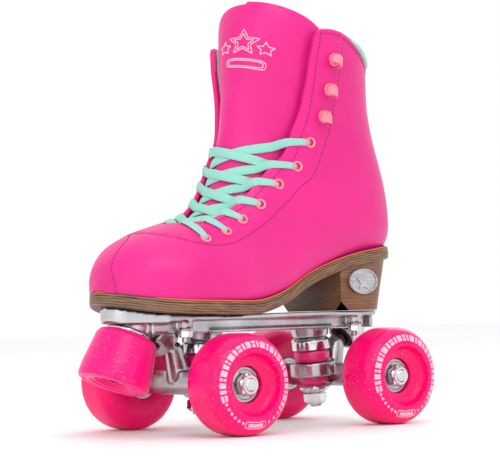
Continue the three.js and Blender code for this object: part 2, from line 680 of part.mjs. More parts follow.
function pivotBoss() {
  const { wall, web, behind, ahead } = PIVOT_BOSS;
  const cone = rod(onSteerAxis(-CUP.mouth), onSteerAxis(cupTop + FLANGE.thick), cupR + wall, cupR + web, 18);
  const half = cupR + web;
  const side = box(PIVOT_X - behind, PIVOT_X + ahead, -half, half, PIVOT_Z + behind, FLANGE_LOW + 1);
  const underPlate = box(-REACH, REACH, -REACH, REACH, 0, PLATE_TOP_Z);
  return common(join(cone, side), underPlate);
}

function plate() {
  const under = belowSole(-SOLE_THICK - GAP);
  const { lowR, highR } = STOP_BOSS;
  const stopBossTop = stopBossLow + lowR + highR;
  const stopBoss = common(rod(onStop(stopBossLow), onStop(stopBossTop), lowR, highR, 20), under);
  const kingpinBoss = rod(onKingpin(bossLow), onKingpin(bossTop + 1), BOSS_R - 1, BOSS_R + 2, 20);
  const boltPads = boltPlaces.map(([, x, y]) => upright(x, y, padLow, FLANGE_LOW + 1, BOLT.head + 0.4, 12));
  const bosses = [kingpinBoss, otherEnd(kingpinBoss), pivotBoss(), otherEnd(pivotBoss())];
  const body = join(flange(), ...rails(), stopBoss, ...boltPads, ...bosses);
  const bore = (at, low, high, r) => rod(at(low), at(high), r, r, 16);
  const trucks = [
    bore(onKingpin, 0, REACH, KINGPIN_R + GAP),
    bore(onKingpin, bossTop - KINGPIN_HEAD - GAP, REACH, KINGPIN_NUT.r + GAP),
    bore(onSteerAxis, -2 * CUP.mouth, cupTop + GAP, cupR + 2 * GAP),
  ];
  const stopRoom = bore(onStop, 0, stopBossLow, STOP_TOP_R + 1.5);
  const stemHole = bore(onStop, 0, REACH, STEM_R + GAP);
  const boltHoles = boltPlaces.map(([, x, y]) => upright(x, y, 0, BALL_Z, BOLT.r + GAP, 12));
  return cut(body, ...trucks, ...trucks.map(otherEnd), stopRoom, stemHole, ...boltHoles);
}

add(skate, 'plate', plate(), castAluminium);

function mountingBolt(x, y) {
  const nutTopZ = padLow - GAP;
  const nutLowZ = nutTopZ - BOLT.headHeight;
  const nut = upright(x, y, nutLowZ, nutTopZ, BOLT.head, 6);
  return join(nut, upright(x, y, nutLowZ - BOLT.tail, PLATE_TOP_Z - GAP, BOLT.r, 12));
}

for (const [place, x, y] of boltPlaces) add(skate, `mounting_bolt_${place}`, mountingBolt(x, y), chrome);

// ---------------------------------------------------------------- toe stop
function stopPad() {
  const r = STOP_FOOT.r;
  const h = STOP_HEIGHT;
  const bore = STEM_R + GAP;
  const profile = [[bore, 3], [10.5, 3], [12, 1], [r - 5, 1], [r - 3.5, 0], [r - 1.2, 0.4], [r, 2.2],
    [STOP_TOP_R, h - 4], [STOP_TOP_R - 1.2, h - 1.2], [STOP_TOP_R - 4, h], [bore, h]];
  return turned(profile, stopFoot, stopUp, 24);
}

const stopStem = rod(onStop(STEM_FOOT), onStop(STEM_TOP), STEM_R, STEM_R, 20);
const stopWasher = turned([[STEM_R + GAP, 0], [STOP_WASHER.r, 0], [STOP_WASHER.r, STOP_WASHER.height],
  [STEM_R + GAP, STOP_WASHER.height]], onStop(STOP_HEIGHT + GAP), stopUp, 24);
add(skate, 'toe_stop_pad', stopPad(), urethane);
add(skate, 'toe_stop_stem', stopStem, chrome);
add(skate, 'toe_stop_washer', stopWasher, chrome);

// ---------------------------------------------------------------- trucks
function hanger() {
  const at = (x, y, z) => new THREE.Vector3(x, y, z);
  const onAxle = (y) => at(AXLE_X, y, AXLE_Z);
  const half = HANGER_HALF;
  const tube = rod(onAxle(-half), onAxle(half), HANGER_TUBE_R, HANGER_TUBE_R, 16);
  const ring = turned([[RING_BORE_R, -halfRing], [RING_R, -halfRing], [RING_R, halfRing],
    [RING_BORE_R, halfRing]], ringCentre, kingpinUp, 20);
  const [inner, outer] = [KINGPIN_X + 6, AXLE_X + HANGER_TUBE_R - 1];
  const edge = [[inner, RING_R - 2], [AXLE_X, half - 5], [AXLE_X + 4, half - 9], [outer, 10]];
  const web = planSlab([...edge, ...edge.toReversed().map(([x, y]) => [x, -y])], AXLE_Z + 1, AXLE_Z + 7.5);
  const knuckle = onSteerAxis(-10);
  const arm = rod(at(AXLE_X + 1, 0, AXLE_Z + 2), knuckle, 8, 6, 12);
  const pin = rod(knuckle, pivotPoint, PIVOT_R + 1, PIVOT_R - 0.4, 12);
  const joint = new THREE.SphereGeometry(6, 12, 6).translate(knuckle.x, knuckle.y, knuckle.z);
  const ball = new THREE.SphereGeometry(PIVOT_R, 12, 6).translate(pivotPoint.x, 0, pivotPoint.z);
  const axleHole = rod(onAxle(-REACH), onAxle(REACH), AXLE_R + GAP, AXLE_R + GAP, 16);
  const room = (low, high, r) => rod(onKingpin(low), onKingpin(high), r, r, 20);
  return cut(
    join(tube, ring, web, arm, pin, joint, ball),
    axleHole,
    room(-30, halfRing + 20, RING_BORE_R),
    room(-30, -halfRing, LOWER_CUSHION.r + GAP),
    room(-30, lowerWasherTop + SWING_ROOM, LOWER_WASHER.r + SWING_ROOM),
    room(halfRing, 30, UPPER_WASHER.r + SWING_ROOM),
  );
}

function truck(end) {
  const group = new THREE.Group();
  const named = (name) => `${name}_${end}`;
  const { r: wr, height: wh } = UPPER_WASHER;
  const boreR = KINGPIN_R + GAP;
  add(group, named('hanger'), hanger(), castAluminium);
  const axleEnd = (y) => new THREE.Vector3(AXLE_X, y, AXLE_Z);
  add(group, named('axle'), rod(axleEnd(-AXLE_HALF), axleEnd(AXLE_HALF), AXLE_R, AXLE_R, 16), chrome);
  const pinFoot = nutTop - KINGPIN_NUT.height - KINGPIN_END;
  const kingpin = join(rod(onKingpin(pinFoot), onKingpin(bossTop - 1), KINGPIN_R, KINGPIN_R, 16),
    rod(onKingpin(bossTop - KINGPIN_HEAD), onKingpin(bossTop), KINGPIN_NUT.r, KINGPIN_NUT.r, 6));
  add(group, named('kingpin'), kingpin, chrome);
  add(group, named('upper_washer'), turned([[boreR, 2], [boreR, wh], [wr - 3, wh], [wr, wh - 5], [wr, 0],
    [wr - 0.8, 0], [wr - 0.8, 2]], onKingpin(upperWasherLow), kingpinUp, 16), chrome);
  add(group, named('upper_cushion'), turned([[boreR, 0], [UPPER_CUSHION.r - 1.5, 0],
    [UPPER_CUSHION.r, UPPER_CUSHION.height / 2], [UPPER_CUSHION.r - 1, UPPER_CUSHION.height],
    [boreR, UPPER_CUSHION.height]], onKingpin(upperCushionLow), kingpinUp, 16), cushionPink);
  add(group, named('lower_cushion'), turned([[boreR, 0], [LOWER_CUSHION.r - 2, 0],
    [LOWER_CUSHION.r, LOWER_CUSHION.height], [boreR, LOWER_CUSHION.height]],
    onKingpin(lowerCushionTop - LOWER_CUSHION.height), kingpinUp, 16), cushionPink);
  add(group, named('lower_washer'), turned([[boreR, 0], [LOWER_WASHER.r - 2.5, 0], [LOWER_WASHER.r, 2],
    [LOWER_WASHER.r, LOWER_WASHER.height], [boreR, LOWER_WASHER.height]],
    onKingpin(lowerWasherTop - LOWER_WASHER.height), kingpinUp, 16), chrome);
  const nutLow = nutTop - KINGPIN_NUT.height;
  const nutBlank = rod(onKingpin(nutLow), onKingpin(nutTop), KINGPIN_NUT.r, KINGPIN_NUT.r, 6);
  const nut = cut(nutBlank, rod(onKingpin(-REACH), onKingpin(0), boreR, boreR, 16));
  add(group, named('kingpin_nut'), nut, chrome);
  const cup = turned([[0, PIVOT_R + GAP], [0, cupTop], [cupR, cupTop], [cupR, -CUP.mouth],
    [PIVOT_R + 4 * GAP, -CUP.mouth], [PIVOT_R + 2 * GAP, PIVOT_R + GAP]], pivotPoint, steerAxis, 16);
  add(group, named('pivot_cup'), cup, cupRubber);
  for (const [side, s] of [['left', 1], ['right', -1]]) {
    const towards = end === 'rear' ? -s : s;
    wheelSet(group, `${end}_${side}`, towards);
  }
  return group;
}

// Wheel, two bearings and axle nut on one end of an axle; s is +1 or -1 along the truck's Y.
function wheelSet(group, place, s) {
  const centre = new THREE.Vector3(AXLE_X, s * WHEEL_Y, AXLE_Z);
  const outward = new THREE.Vector3(0, s, 0);
  const half = WHEEL_WIDTH / 2;
  const seatR = BEARING_R + GAP;
  const coreR = BEARING_R - 3;
  const flat = half - SHOULDER_R;
  const treadR = WHEEL_R / Math.cos(Math.PI / WHEEL_SIDES); // so that its flats stand on the ground
  const shoulder = (from, to, y) => steps(from, to, 3).map((a) => [
    treadR - SHOULDER_R + SHOULDER_R * Math.cos(rad(a)), y + SHOULDER_R * Math.sin(rad(a))]);
  const lipY = half - DISH_DEPTH;
  const profile = [
    [coreR, INNER_BEARING_Y + BEARING_WIDTH + GAP], [coreR, OUTER_BEARING_Y - GAP],
    [seatR, OUTER_BEARING_Y - GAP], [seatR, lipY], [DISH_R - 1, lipY + 4], [DISH_R, half - 0.8],
    ...shoulder(90, 0, flat), ...shoulder(0, -90, -flat),
    [DISH_R, -half], [seatR, -half + 1.5],
    [seatR, INNER_BEARING_Y + BEARING_WIDTH + GAP],
  ];
  add(group, `wheel_${place}`, turned(profile, centre, outward, WHEEL_SIDES), urethane);
  const ring = (low) => turned([[AXLE_R + GAP, low], [BEARING_R, low], [BEARING_R, low + BEARING_WIDTH],
    [AXLE_R + GAP, low + BEARING_WIDTH]], centre, outward, WHEEL_SIDES);
  add(group, `outer_bearing_${place}`, ring(OUTER_BEARING_Y), bearingSteel);
  add(group, `inner_bearing_${place}`, ring(INNER_BEARING_Y), bearingSteel);
  const at = (y) => centre.clone().addScaledVector(outward, y);
  const nutR = NUT_FLATS / 2 / Math.cos(Math.PI / 6);
  const nutBlank = rod(at(NUT_Y), at(NUT_Y + NUT_HEIGHT), nutR, nutR, 6);
  const nut = cut(nutBlank, rod(at(-REACH), at(REACH), AXLE_R + GAP, AXLE_R + GAP, 16));
  add(group, `axle_nut_${place}`, nut, chrome);
}

const frontTruck = truck('front');
const rearTruck = truck('rear');
rearTruck.rotation.z = Math.PI;
skate.add(frontTruck, rearTruck);

// The origin is on the ground under the middle of the whole skate.
skate.updateMatrixWorld(true);
const extent = new THREE.Box3().setFromObject(skate);
skate.position.x = -(extent.min.x + extent.max.x) / 2;

export default skate;
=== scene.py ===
import math

import bmesh
import bpy
import numpy as np
from bpy.props import FloatProperty, FloatVectorProperty, IntProperty, PointerProperty
from bpy.types import Operator, Panel, PropertyGroup
from mathutils import Matrix, Vector


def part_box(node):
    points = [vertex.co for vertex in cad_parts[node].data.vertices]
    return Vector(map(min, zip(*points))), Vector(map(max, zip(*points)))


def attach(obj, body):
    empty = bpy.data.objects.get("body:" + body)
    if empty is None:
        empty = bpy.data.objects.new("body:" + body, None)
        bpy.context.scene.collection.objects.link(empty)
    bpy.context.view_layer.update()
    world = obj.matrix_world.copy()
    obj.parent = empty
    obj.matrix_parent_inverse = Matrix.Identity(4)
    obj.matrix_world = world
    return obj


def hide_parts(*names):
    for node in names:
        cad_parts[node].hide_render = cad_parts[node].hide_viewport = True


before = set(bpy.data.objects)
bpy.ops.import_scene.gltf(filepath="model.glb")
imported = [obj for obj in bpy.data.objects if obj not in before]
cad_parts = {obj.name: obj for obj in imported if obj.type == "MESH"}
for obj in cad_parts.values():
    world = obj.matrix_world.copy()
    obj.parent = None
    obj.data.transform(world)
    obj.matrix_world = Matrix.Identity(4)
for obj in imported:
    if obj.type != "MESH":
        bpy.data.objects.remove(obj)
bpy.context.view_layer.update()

bl_info = {
    "name": "Quad roller skate",
    "version": (1, 0, 0),
    "blender": (4, 5, 0),
    "location": "3D View > Sidebar > Skate",
    "description": "Makes a high lace-up quad roller skate around its frame of bodies and axles",
    "category": "Add Mesh",
}

MM = 0.001


def node_middle(name):
    """The middle of a frame piece's box."""
    low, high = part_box(name)
    return (low + high) / 2


# ---------------------------------------------------------------- places taken from the frame
AXLES = {"front": node_middle("axle_front"), "rear": node_middle("axle_rear")}
MIDDLE_X = (AXLES["front"].x + AXLES["rear"].x) / 2
AXLE_Z = AXLES["front"].z
PLATE_TOP_Z = AXLE_Z + 0.0422
GAP = 0.0003
SOLE_THICK = 0.0078
BALL_Z = PLATE_TOP_Z + GAP + SOLE_THICK  # top of the sole under the ball of the foot
HEEL_BOTTOM_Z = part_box("heel_block")[0].z
WHEELS = ("front_left", "front_right", "rear_left", "rear_right")

# ---------------------------------------------------------------- the last: the boot's form
# One row for each section from the toe round the heel to the collar, in millimetres: back/bottom
# point x, z; front/top point x, z; half width; share of the depth where it is widest; fullness of
# the back/bottom curve; fullness of the front/top curve. x is from midway between the axles, and z
# from the top of the sole under the ball of the foot.
BOOT_SECTIONS = np.array([
    [122.5, 3, 123, 16, 7, 0.4, 2.6, 2],
    [120, 2, 120.5, 24, 14, 0.4, 3, 2.1],
    [115, 0, 115, 31, 21.5, 0.38, 3.4, 2.2],
    [107, -2, 106.5, 37.5, 29.5, 0.36, 3.6, 2.3],
    [96, -4, 95.5, 42.5, 36.5, 0.34, 3.6, 2.3],
    [83, -6, 82.5, 46.5, 42, 0.33, 3.6, 2.2],
    [69, -7, 70, 50, 45, 0.33, 3.6, 2.1],
    [54, -7.5, 58, 53.5, 46, 0.33, 3.6, 1.95],
    [37, -8, 49, 58.5, 44.5, 0.33, 3.5, 1.85],
    [17, -6, 42, 66, 41, 0.34, 3.3, 1.85],
    [-4, 1, 37.5, 75, 38.5, 0.36, 3.1, 1.85],
    [-27, 12, 34.5, 85, 37.5, 0.38, 2.9, 1.9],
    [-51, 19, 32.5, 94, 37, 0.4, 2.7, 1.95],
    [-75, 24, 31, 103, 36.5, 0.42, 2.6, 2],
    [-95, 28, 29.5, 111, 36.5, 0.43, 2.5, 2],
    [-105, 38, 28, 119, 36.5, 0.44, 2.45, 2.05],
    [-106.5, 53, 27, 126, 36.5, 0.45, 2.4, 2.1],
    [-104, 70, 26, 133, 37, 0.46, 2.35, 2.1],
    [-99, 86, 25, 140, 38, 0.47, 2.3, 2.1],
    [-93, 103, 24.5, 147.5, 39, 0.48, 2.3, 2.1],
    [-88.5, 120, 24, 155.5, 40.5, 0.49, 2.3, 2.1],
    [-87, 137, 23.5, 164, 41.5, 0.5, 2.3, 2.1],
    [-86.5, 153, 23, 173, 42.5, 0.5, 2.3, 2.1],
    [-86.5, 169, 22, 182, 43, 0.5, 2.3, 2.1],
    [-86.5, 183, 20, 194, 43, 0.5, 2.3, 2.1],
    [-86.5, 199, 17, 209, 43, 0.5, 2.3, 2.1],
])
LAST_SECTION = len(BOOT_SECTIONS) - 1
# Opening of the throat: section, near edge and far edge in degrees round the section from its front
THROAT = np.array([
    [5.7, 3, -3], [5.95, 14, -9], [6.95, 24, -18], [8.5, 32, -26], [10.8, 45, -34], [12.8, 51, -37],
    [14, 54, -38], [16, 58.5, -39], [18, 66, -40], [20, 73, -41], [22, 77.5, -42], [25, 79, -43],
])
COLLAR_LINE = np.array([
    [-120, 150], [-92, 150.5], [-76, 155], [-60, 164], [-46, 171.5], [-34, 174], [-22, 173], [-8, 168],
    [60, 150],
])
SOLE_LINE = np.array([
    [124.5, 7.2], [96, 1.9], [60, 0], [28, 0], [-1, 7.3], [-25, 18.5], [-60, 29], [-106, 35.2],
])
SOLE_PLAN = np.array([
    [124.5, 0], [123, 7.5], [118, 17], [109, 27], [96, 36.5], [80, 43], [60, 46.5], [38, 45], [14, 38.5],
    [-12, 32], [-45, 31], [-72, 31.5], [-90, 27.5], [-100, 19], [-104.5, 9.5], [-106, 0],
])
EYELETS = np.array([
    [6.25, 48], [7.8, 46.5], [9.25, 49], [10.65, 56], [12.25, 60], [14.05, 63.5], [16.05, 70],
])
# For each near eyelet, the section where its lace is tucked under the far facing
LACE_NEAR = (6.4, 6.8, 7.7, 8.8, 10.1, 11.4, 12.6)
# For each far eyelet, where its lace crosses the far edge and where it is tucked under the near facing
LACE_FAR = ((6.2, 6.2), (6.9, 6.6), (7.9, 7.7), (9.5, 9.0), (10.8, 10.4), (12.0, 11.95), (13.5, 13.6))
FAR_DROP = 0.08  # how much lower the far eyelets lie, as a share of the sections above the first eyelet
HOOKS = np.array([[18.15, 81], [19.8, 88.5], [21.4, 92.5]])
FAR_SPREAD = 1.8  # the far facing is turned further round the shin than the near one
# Seam of the facing, from the collar down behind the hooks and under the eyelets to the vamp
FACING_SEAM = np.array([
    [23.5, 101], [22.6, 100], [21.4, 98.5], [20.4, 95.5], [18.95, 90], [17.45, 83.5], [16.15, 78],
    [14.65, 73.5], [13.25, 71.5], [11.75, 70], [10.55, 67], [9.55, 62], [8.2, 58], [7.2, 57], [6.4, 55.5],
    [5.75, 51], [5.1, 41], [4.5, 26], [4.25, 12], [4.2, 0],
])
TOE_SEAM = np.array([
    [1.05, 118], [1.0, 95], [0.95, 65], [1.1, 40], [1.55, 26], [2.3, 14], [3.4, 3], [4.1, -8], [4.15, -22],
    [3.3, -45], [2.6, -70], [2.3, -95], [2.3, -118],
])


# ---------------------------------------------------------------- curves
def smooth_curve(points, count):
    """Points along a centripetal Catmull-Rom curve through the given ones."""
    points = np.asarray(points, float)
    ends = np.vstack([2 * points[0] - points[1], points, 2 * points[-1] - points[-2]])
    knots = np.concatenate([[0], np.cumsum(np.sqrt(np.linalg.norm(np.diff(ends, axis=0), axis=1)))])
    made = []
    for share in np.linspace(0, len(points) - 1, count):
        i = min(int(share), len(points) - 2)
        t0, t1, t2, t3 = knots[i:i + 4]
        p0, p1, p2, p3 = ends[i:i + 4]
        t = t1 + (t2 - t1) * (share - i)
        a1 = (t1 - t) / (t1 - t0) * p0 + (t - t0) / (t1 - t0) * p1
        a2 = (t2 - t) / (t2 - t1) * p1 + (t - t1) / (t2 - t1) * p2
        a3 = (t3 - t) / (t3 - t2) * p2 + (t - t2) / (t3 - t2) * p3
        b1 = (t2 - t) / (t2 - t0) * a1 + (t - t0) / (t2 - t0) * a2
        b2 = (t3 - t) / (t3 - t1) * a2 + (t - t1) / (t3 - t1) * a3
        made.append((t2 - t) / (t2 - t1) * b1 + (t - t1) / (t2 - t1) * b2)
    return np.array(made)


def line_at(line, x):
    """Height of a line of x, z points, which runs either way along x."""
    order = np.argsort(line[:, 0])
    return np.interp(x, line[order, 0], line[order, 1])


SOLE_EDGE = smooth_curve(SOLE_LINE, 160)
COLLAR_EDGE = smooth_curve(COLLAR_LINE[1:-1], 80)


def step_between(low, high, value):
    """0 below low, 1 above high, and smooth in between."""
    t = np.clip((value - low) / (high - low), 0, 1)
    return t * t * (3 - 2 * t)


def throat_edges(k):
    """Near and far edge of the throat at each section, in degrees. Both are 0 below the throat."""
    near = np.where(k < THROAT[0, 0], 0, np.interp(k, THROAT[:, 0], THROAT[:, 1]))
    far = np.where(k < THROAT[0, 0], 0, np.interp(k, THROAT[:, 0], THROAT[:, 2]))
    return near, far


# ---------------------------------------------------------------- the boot's surface
def sections_at(k):
    """Catmull-Rom values of the eight columns at section numbers k."""
    k = np.asarray(k, float)
    i = np.minimum(np.floor(k).astype(int), LAST_SECTION - 1)
    t = (k - i)[..., None]
    a, b, n, d = (BOOT_SECTIONS[np.clip(i + j, 0, LAST_SECTION)] for j in (-1, 0, 1, 2))
    bend = (2 * a - 5 * b + 4 * n - d) * t ** 2 + (3 * b - a - 3 * n + d) * t ** 3
    return 0.5 * (2 * b + (n - a) * t + bend)


def boot_mm(k, degrees, depth):
    """Points on the boot, in millimetres from the middle of the axles and the ball of the foot."""
    k, degrees, depth = np.broadcast_arrays(k, degrees, depth)
    rows = np.moveaxis(sections_at(k), -1, 0)
    back_x, back_z, front_x, front_z, half, widest, full_back, full_front = rows
    length = np.hypot(front_x - back_x, front_z - back_z)
    c, s = np.cos(np.radians(degrees)), np.sin(np.radians(degrees))
    full = np.where(c >= 0, full_front, full_back)
    reach = np.where(c >= 0, (1 - widest) * length, widest * length) - depth
    run = (widest * length + np.sign(c) * reach * np.abs(c) ** (2 / full)) / length
    side = (half - depth) * np.sign(s) * np.abs(s) ** (2 / full)
    return np.stack([back_x + (front_x - back_x) * run, side, back_z + (front_z - back_z) * run], -1)


def placed(points_mm):
    """The same points in the frame, in metres."""
    return np.asarray(points_mm) * MM + np.array([MIDDLE_X, 0, BALL_Z])


def boot_point(k, degrees, depth=0.0):
    """Points of the frame on the boot, depth in millimetres under its surface."""
    return placed(boot_mm(k, degrees, depth))


def boot_outward(k, degrees):
    """Unit vectors straight out of the boot."""
    k, degrees = np.broadcast_arrays(np.asarray(k, float), np.asarray(degrees, float))
    run = boot_mm(k + 0.05, degrees, 0) - boot_mm(k - 0.05, degrees, 0)
    turn = boot_mm(k, degrees + 1, 0) - boot_mm(k, degrees - 1, 0)
    out = np.cross(turn, run)
    return out / np.maximum(np.linalg.norm(out, axis=-1, keepdims=True), 1e-9)


# ---------------------------------------------------------------- mesh making
def mesh_piece(name, points, faces, uvs=None):
    """A piece of its own from points and faces, shaded smooth, with a UV pair for each point."""
    mesh = bpy.data.meshes.new(name)
    mesh.from_pydata([tuple(p) for p in points], [], [tuple(f) for f in faces])
    if uvs is not None:
        layer = mesh.uv_layers.new(name="UVMap")
        corners = np.zeros(len(mesh.loops), np.int32)
        mesh.loops.foreach_get("vertex_index", corners)
        layer.data.foreach_set("uv", np.asarray(uvs, np.float32)[corners].ravel())
    mesh.validate()
    piece = bpy.data.objects.new(name, mesh)
    bpy.context.scene.collection.objects.link(piece)
    mesh.polygons.foreach_set("use_smooth", [True] * len(mesh.polygons))
    return piece


def tidy_mesh(piece, weld=2e-6, sharp_degrees=None):
    """Welds doubles, turns faces outwards, and marks edges sharper than an angle."""
    work = bmesh.new()
    work.from_mesh(piece.data)
    bmesh.ops.remove_doubles(work, verts=work.verts, dist=weld)
    bmesh.ops.dissolve_degenerate(work, dist=weld, edges=work.edges)
    bmesh.ops.recalc_face_normals(work, faces=work.faces)
    if sharp_degrees:
        for edge in work.edges:
            bend = edge.calc_face_angle(0) if len(edge.link_faces) == 2 else 0
            edge.smooth = bend <= math.radians(sharp_degrees)
    work.to_mesh(piece.data)
    work.free()
    return piece


def grid_faces(rows, columns, closed=False, start=0, flip=False):
    """Quads between the points of a grid held row by row."""
    faces = []
    for r in range(rows - 1):
        for c in range(columns if closed else columns - 1):
            n = (c + 1) % columns
            a, b = start + r * columns + c, start + r * columns + n
            face = (a, b, b + columns, a + columns)
            faces.append(face[::-1] if flip else face)
    return faces


def slab_faces(rows, columns):
    """Faces of a slab: one grid of points, a second one under it, and the rim between them."""
    under = rows * columns
    faces = grid_faces(rows, columns) + grid_faces(rows, columns, start=under, flip=True)
    rim = list(range(columns)) + [r * columns + columns - 1 for r in range(1, rows)]
    rim += [(rows - 1) * columns + c for c in range(columns - 2, -1, -1)]
    rim += [r * columns for r in range(rows - 2, 0, -1)]
    following = rim[1:] + rim[:1]
    return faces + [(a, b, under + b, under + a) for a, b in zip(rim, following)]


def baked(piece):
    """Turns a piece's modifiers into its mesh and removes them."""
    bpy.context.view_layer.update()
    graph = bpy.context.evaluated_depsgraph_get()
    mesh = bpy.data.meshes.new_from_object(piece.evaluated_get(graph), depsgraph=graph)
    piece.modifiers.clear()
    old = piece.data
    piece.data = mesh
    bpy.data.meshes.remove(old)
    mesh.name = piece.name
    return piece


def spun(name, profile, origin, axis, sides=72, sharp_degrees=40):
    """A turned piece: (radius, height) points in metres that close on themselves, spun about an axis."""
    axis = Vector(axis).normalized()
    across = axis.orthogonal().normalized()
    up = axis.cross(across)
    points, uvs = [], []
    count = len(profile)
    for s in range(sides):
        a = 2 * math.pi * s / sides
        ray = across * math.cos(a) + up * math.sin(a)
        for i, (r, h) in enumerate(profile):
            points.append(Vector(origin) + ray * r + axis * h)
            uvs.append((s / sides, i / count))
    faces = []
    for s in range(sides):
        n = (s + 1) % sides
        for i in range(count):
            j = (i + 1) % count
            faces.append((s * count + i, s * count + j, n * count + j, n * count + i))
    piece = mesh_piece(name, points, faces, uvs)
    return tidy_mesh(piece, sharp_degrees=sharp_degrees)


def rounded(corners, radius, steps=4):
    """A profile with each corner rounded: corners are (radius, height) or (radius, height, rounding)."""
    made = []
    count = len(corners)
    for i, corner in enumerate(corners):
        here = Vector(corner[:2])
        r = corner[2] if len(corner) > 2 else radius
        before, after = Vector(corners[i - 1][:2]), Vector(corners[(i + 1) % count][:2])
        if r <= 0 or here.x <= 1e-6:
            made.append(tuple(here))
            continue
        back, ahead = before - here, after - here
        cut = min(r, back.length * 0.45, ahead.length * 0.45)
        start, end = here + back.normalized() * cut, here + ahead.normalized() * cut
        for s in range(steps + 1):
            t = s / steps
            made.append(tuple(start * (1 - t) ** 2 + here * 2 * t * (1 - t) + end * t ** 2))
    return made


def prism(name, sides, radius, low, high, origin, axis, chamfer, bore=0.0):
    """A hexagonal or other nut: flat sides, both ends chamfered to a circle, with an optional bore."""
    axis = Vector(axis).normalized()
    across = axis.orthogonal().normalized()
    up = axis.cross(across)
    steps = sides * 6
    inner = radius * math.cos(math.pi / sides)
    points, faces = [], []
    tall, blunt = high - low, inner - chamfer / 2
    rings = ((0, blunt), (chamfer, None), (tall - chamfer, None), (tall, blunt))
    for h, circle in rings:
        for s in range(steps):
            a = 2 * math.pi * s / steps
            fold = (a + math.pi / sides) % (2 * math.pi / sides) - math.pi / sides
            wall = inner / math.cos(fold)
            r = min(wall, circle) if circle else wall
            ray = across * math.cos(a) + up * math.sin(a)
            points.append(Vector(origin) + ray * r + axis * (low + h))
    faces += grid_faces(4, steps, closed=True)
    for ring in (3, 0):
        start = len(points)
        h = rings[ring][0]
        for s in range(steps):
            a = 2 * math.pi * s / steps
            ray = across * math.cos(a) + up * math.sin(a)
            points.append(Vector(origin) + ray * max(bore, 1e-4) + axis * (low + h))
        faces += [(ring * steps + s, ring * steps + (s + 1) % steps, start + (s + 1) % steps, start + s)
                  for s in range(steps)]
    if bore:
        a, b = 4 * steps, 5 * steps
        faces += [(a + s, a + (s + 1) % steps, b + (s + 1) % steps, b + s) for s in range(steps)]
    else:
        faces += [tuple(range(4 * steps, 5 * steps)), tuple(range(5 * steps, 6 * steps))]
    return tidy_mesh(mesh_piece(name, points, faces), sharp_degrees=20)


def thread_profile(radius, low, high, pitch, bevel):
    """Half outline of a threaded end: V-shaped grooves a pitch apart and a bevelled tip."""
    made = [(0, low), (radius - bevel, low), (radius, low + bevel)]
    for i in range(int((high - low - 2 * bevel) / pitch)):
        z = low + bevel + (i + 0.5) * pitch
        made += [(radius, z - 0.3 * pitch), (radius * 0.9, z), (radius, z + 0.3 * pitch)]
    return made + [(radius, high), (0, high)]


def joined(name, pieces):
    """One piece from several."""
    work = bmesh.new()
    for piece in pieces:
        work.from_mesh(piece.data)
    mesh = bpy.data.meshes.new(name)
    work.to_mesh(mesh)
    work.free()
    for piece in pieces:
        old = piece.data
        bpy.data.objects.remove(piece)
        bpy.data.meshes.remove(old)
    made = bpy.data.objects.new(name, mesh)
    bpy.context.scene.collection.objects.link(made)
    return made


def dress(piece, material, body, slot, *stands_for):
    """Gives a piece its material, the body it moves with and the frame pieces it replaces. The slot, its
    finish, is not used.
    """
    piece.data.materials.clear()
    piece.data.materials.append(material)
    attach(piece, body)
    if stands_for:
        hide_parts(*stands_for)
    return piece


# ---------------------------------------------------------------- geometry nodes
def add_node(tree, kind, inputs=None, **settings):
    """Adds a node, sets its properties, and fills its sockets with values or links."""
    made = tree.nodes.new(kind)
    for name, value in settings.items():
        setattr(made, name, value)
    for name, value in (inputs or {}).items():
        socket = made.inputs[name]
        if isinstance(value, bpy.types.NodeSocket):
            tree.links.new(value, socket)
        else:
            socket.default_value = value
    return made


def geometry_tree(name, sizes):
    """An empty modifier tree with a geometry input and named float sizes."""
    tree = bpy.data.node_groups.new(name, "GeometryNodeTree")
    tree.is_modifier = True
    tree.interface.new_socket("Geometry", in_out="OUTPUT", socket_type="NodeSocketGeometry")
    tree.interface.new_socket("Geometry", in_out="INPUT", socket_type="NodeSocketGeometry")
    for label, value in sizes.items():
        socket = tree.interface.new_socket(label, in_out="INPUT", socket_type="NodeSocketFloat")
        socket.default_value = value
    return tree, tree.nodes.new("NodeGroupInput"), tree.nodes.new("NodeGroupOutput")


def run_tree(piece, tree, values):
    """Puts a tree on a piece with its sizes, and turns the result into a plain mesh."""
    modifier = piece.modifiers.new(tree.name, "NODES")
    modifier.node_group = tree
    for item in tree.interface.items_tree:
        if item.in_out == "INPUT" and item.name in values:
            modifier[item.identifier] = values[item.name]
    return baked(piece)


def turned_to(tree, out, along=None):
    """A rotation with Z along one vector and X as near as it goes to another."""
    upright = add_node(tree, "FunctionNodeAlignRotationToVector", {"Vector": out}, axis="Z")
    if along is None:
        return upright.outputs[0]
    facing = add_node(tree, "FunctionNodeAlignRotationToVector",
                      {"Rotation": upright.outputs[0], "Vector": along}, axis="X", pivot_axis="Z")
    return facing.outputs[0]


def outward_field(tree):
    found = add_node(tree, "GeometryNodeInputNamedAttribute", {"Name": "out"}, data_type="FLOAT_VECTOR")
    return found.outputs["Attribute"]


def made_real(tree, result, placed_on, material, shade_smooth=True):
    """Ends a tree: its instances become plain mesh and get their material."""
    last = add_node(tree, "GeometryNodeRealizeInstances", {"Geometry": placed_on.outputs["Instances"]})
    if shade_smooth:
        last = add_node(tree, "GeometryNodeSetShadeSmooth", {"Geometry": last.outputs["Geometry"]})
    coating = {"Geometry": last.outputs["Geometry"], "Material": material}
    coated = add_node(tree, "GeometryNodeSetMaterial", coating)
    tree.links.new(coated.outputs["Geometry"], result.inputs["Geometry"])
    return tree


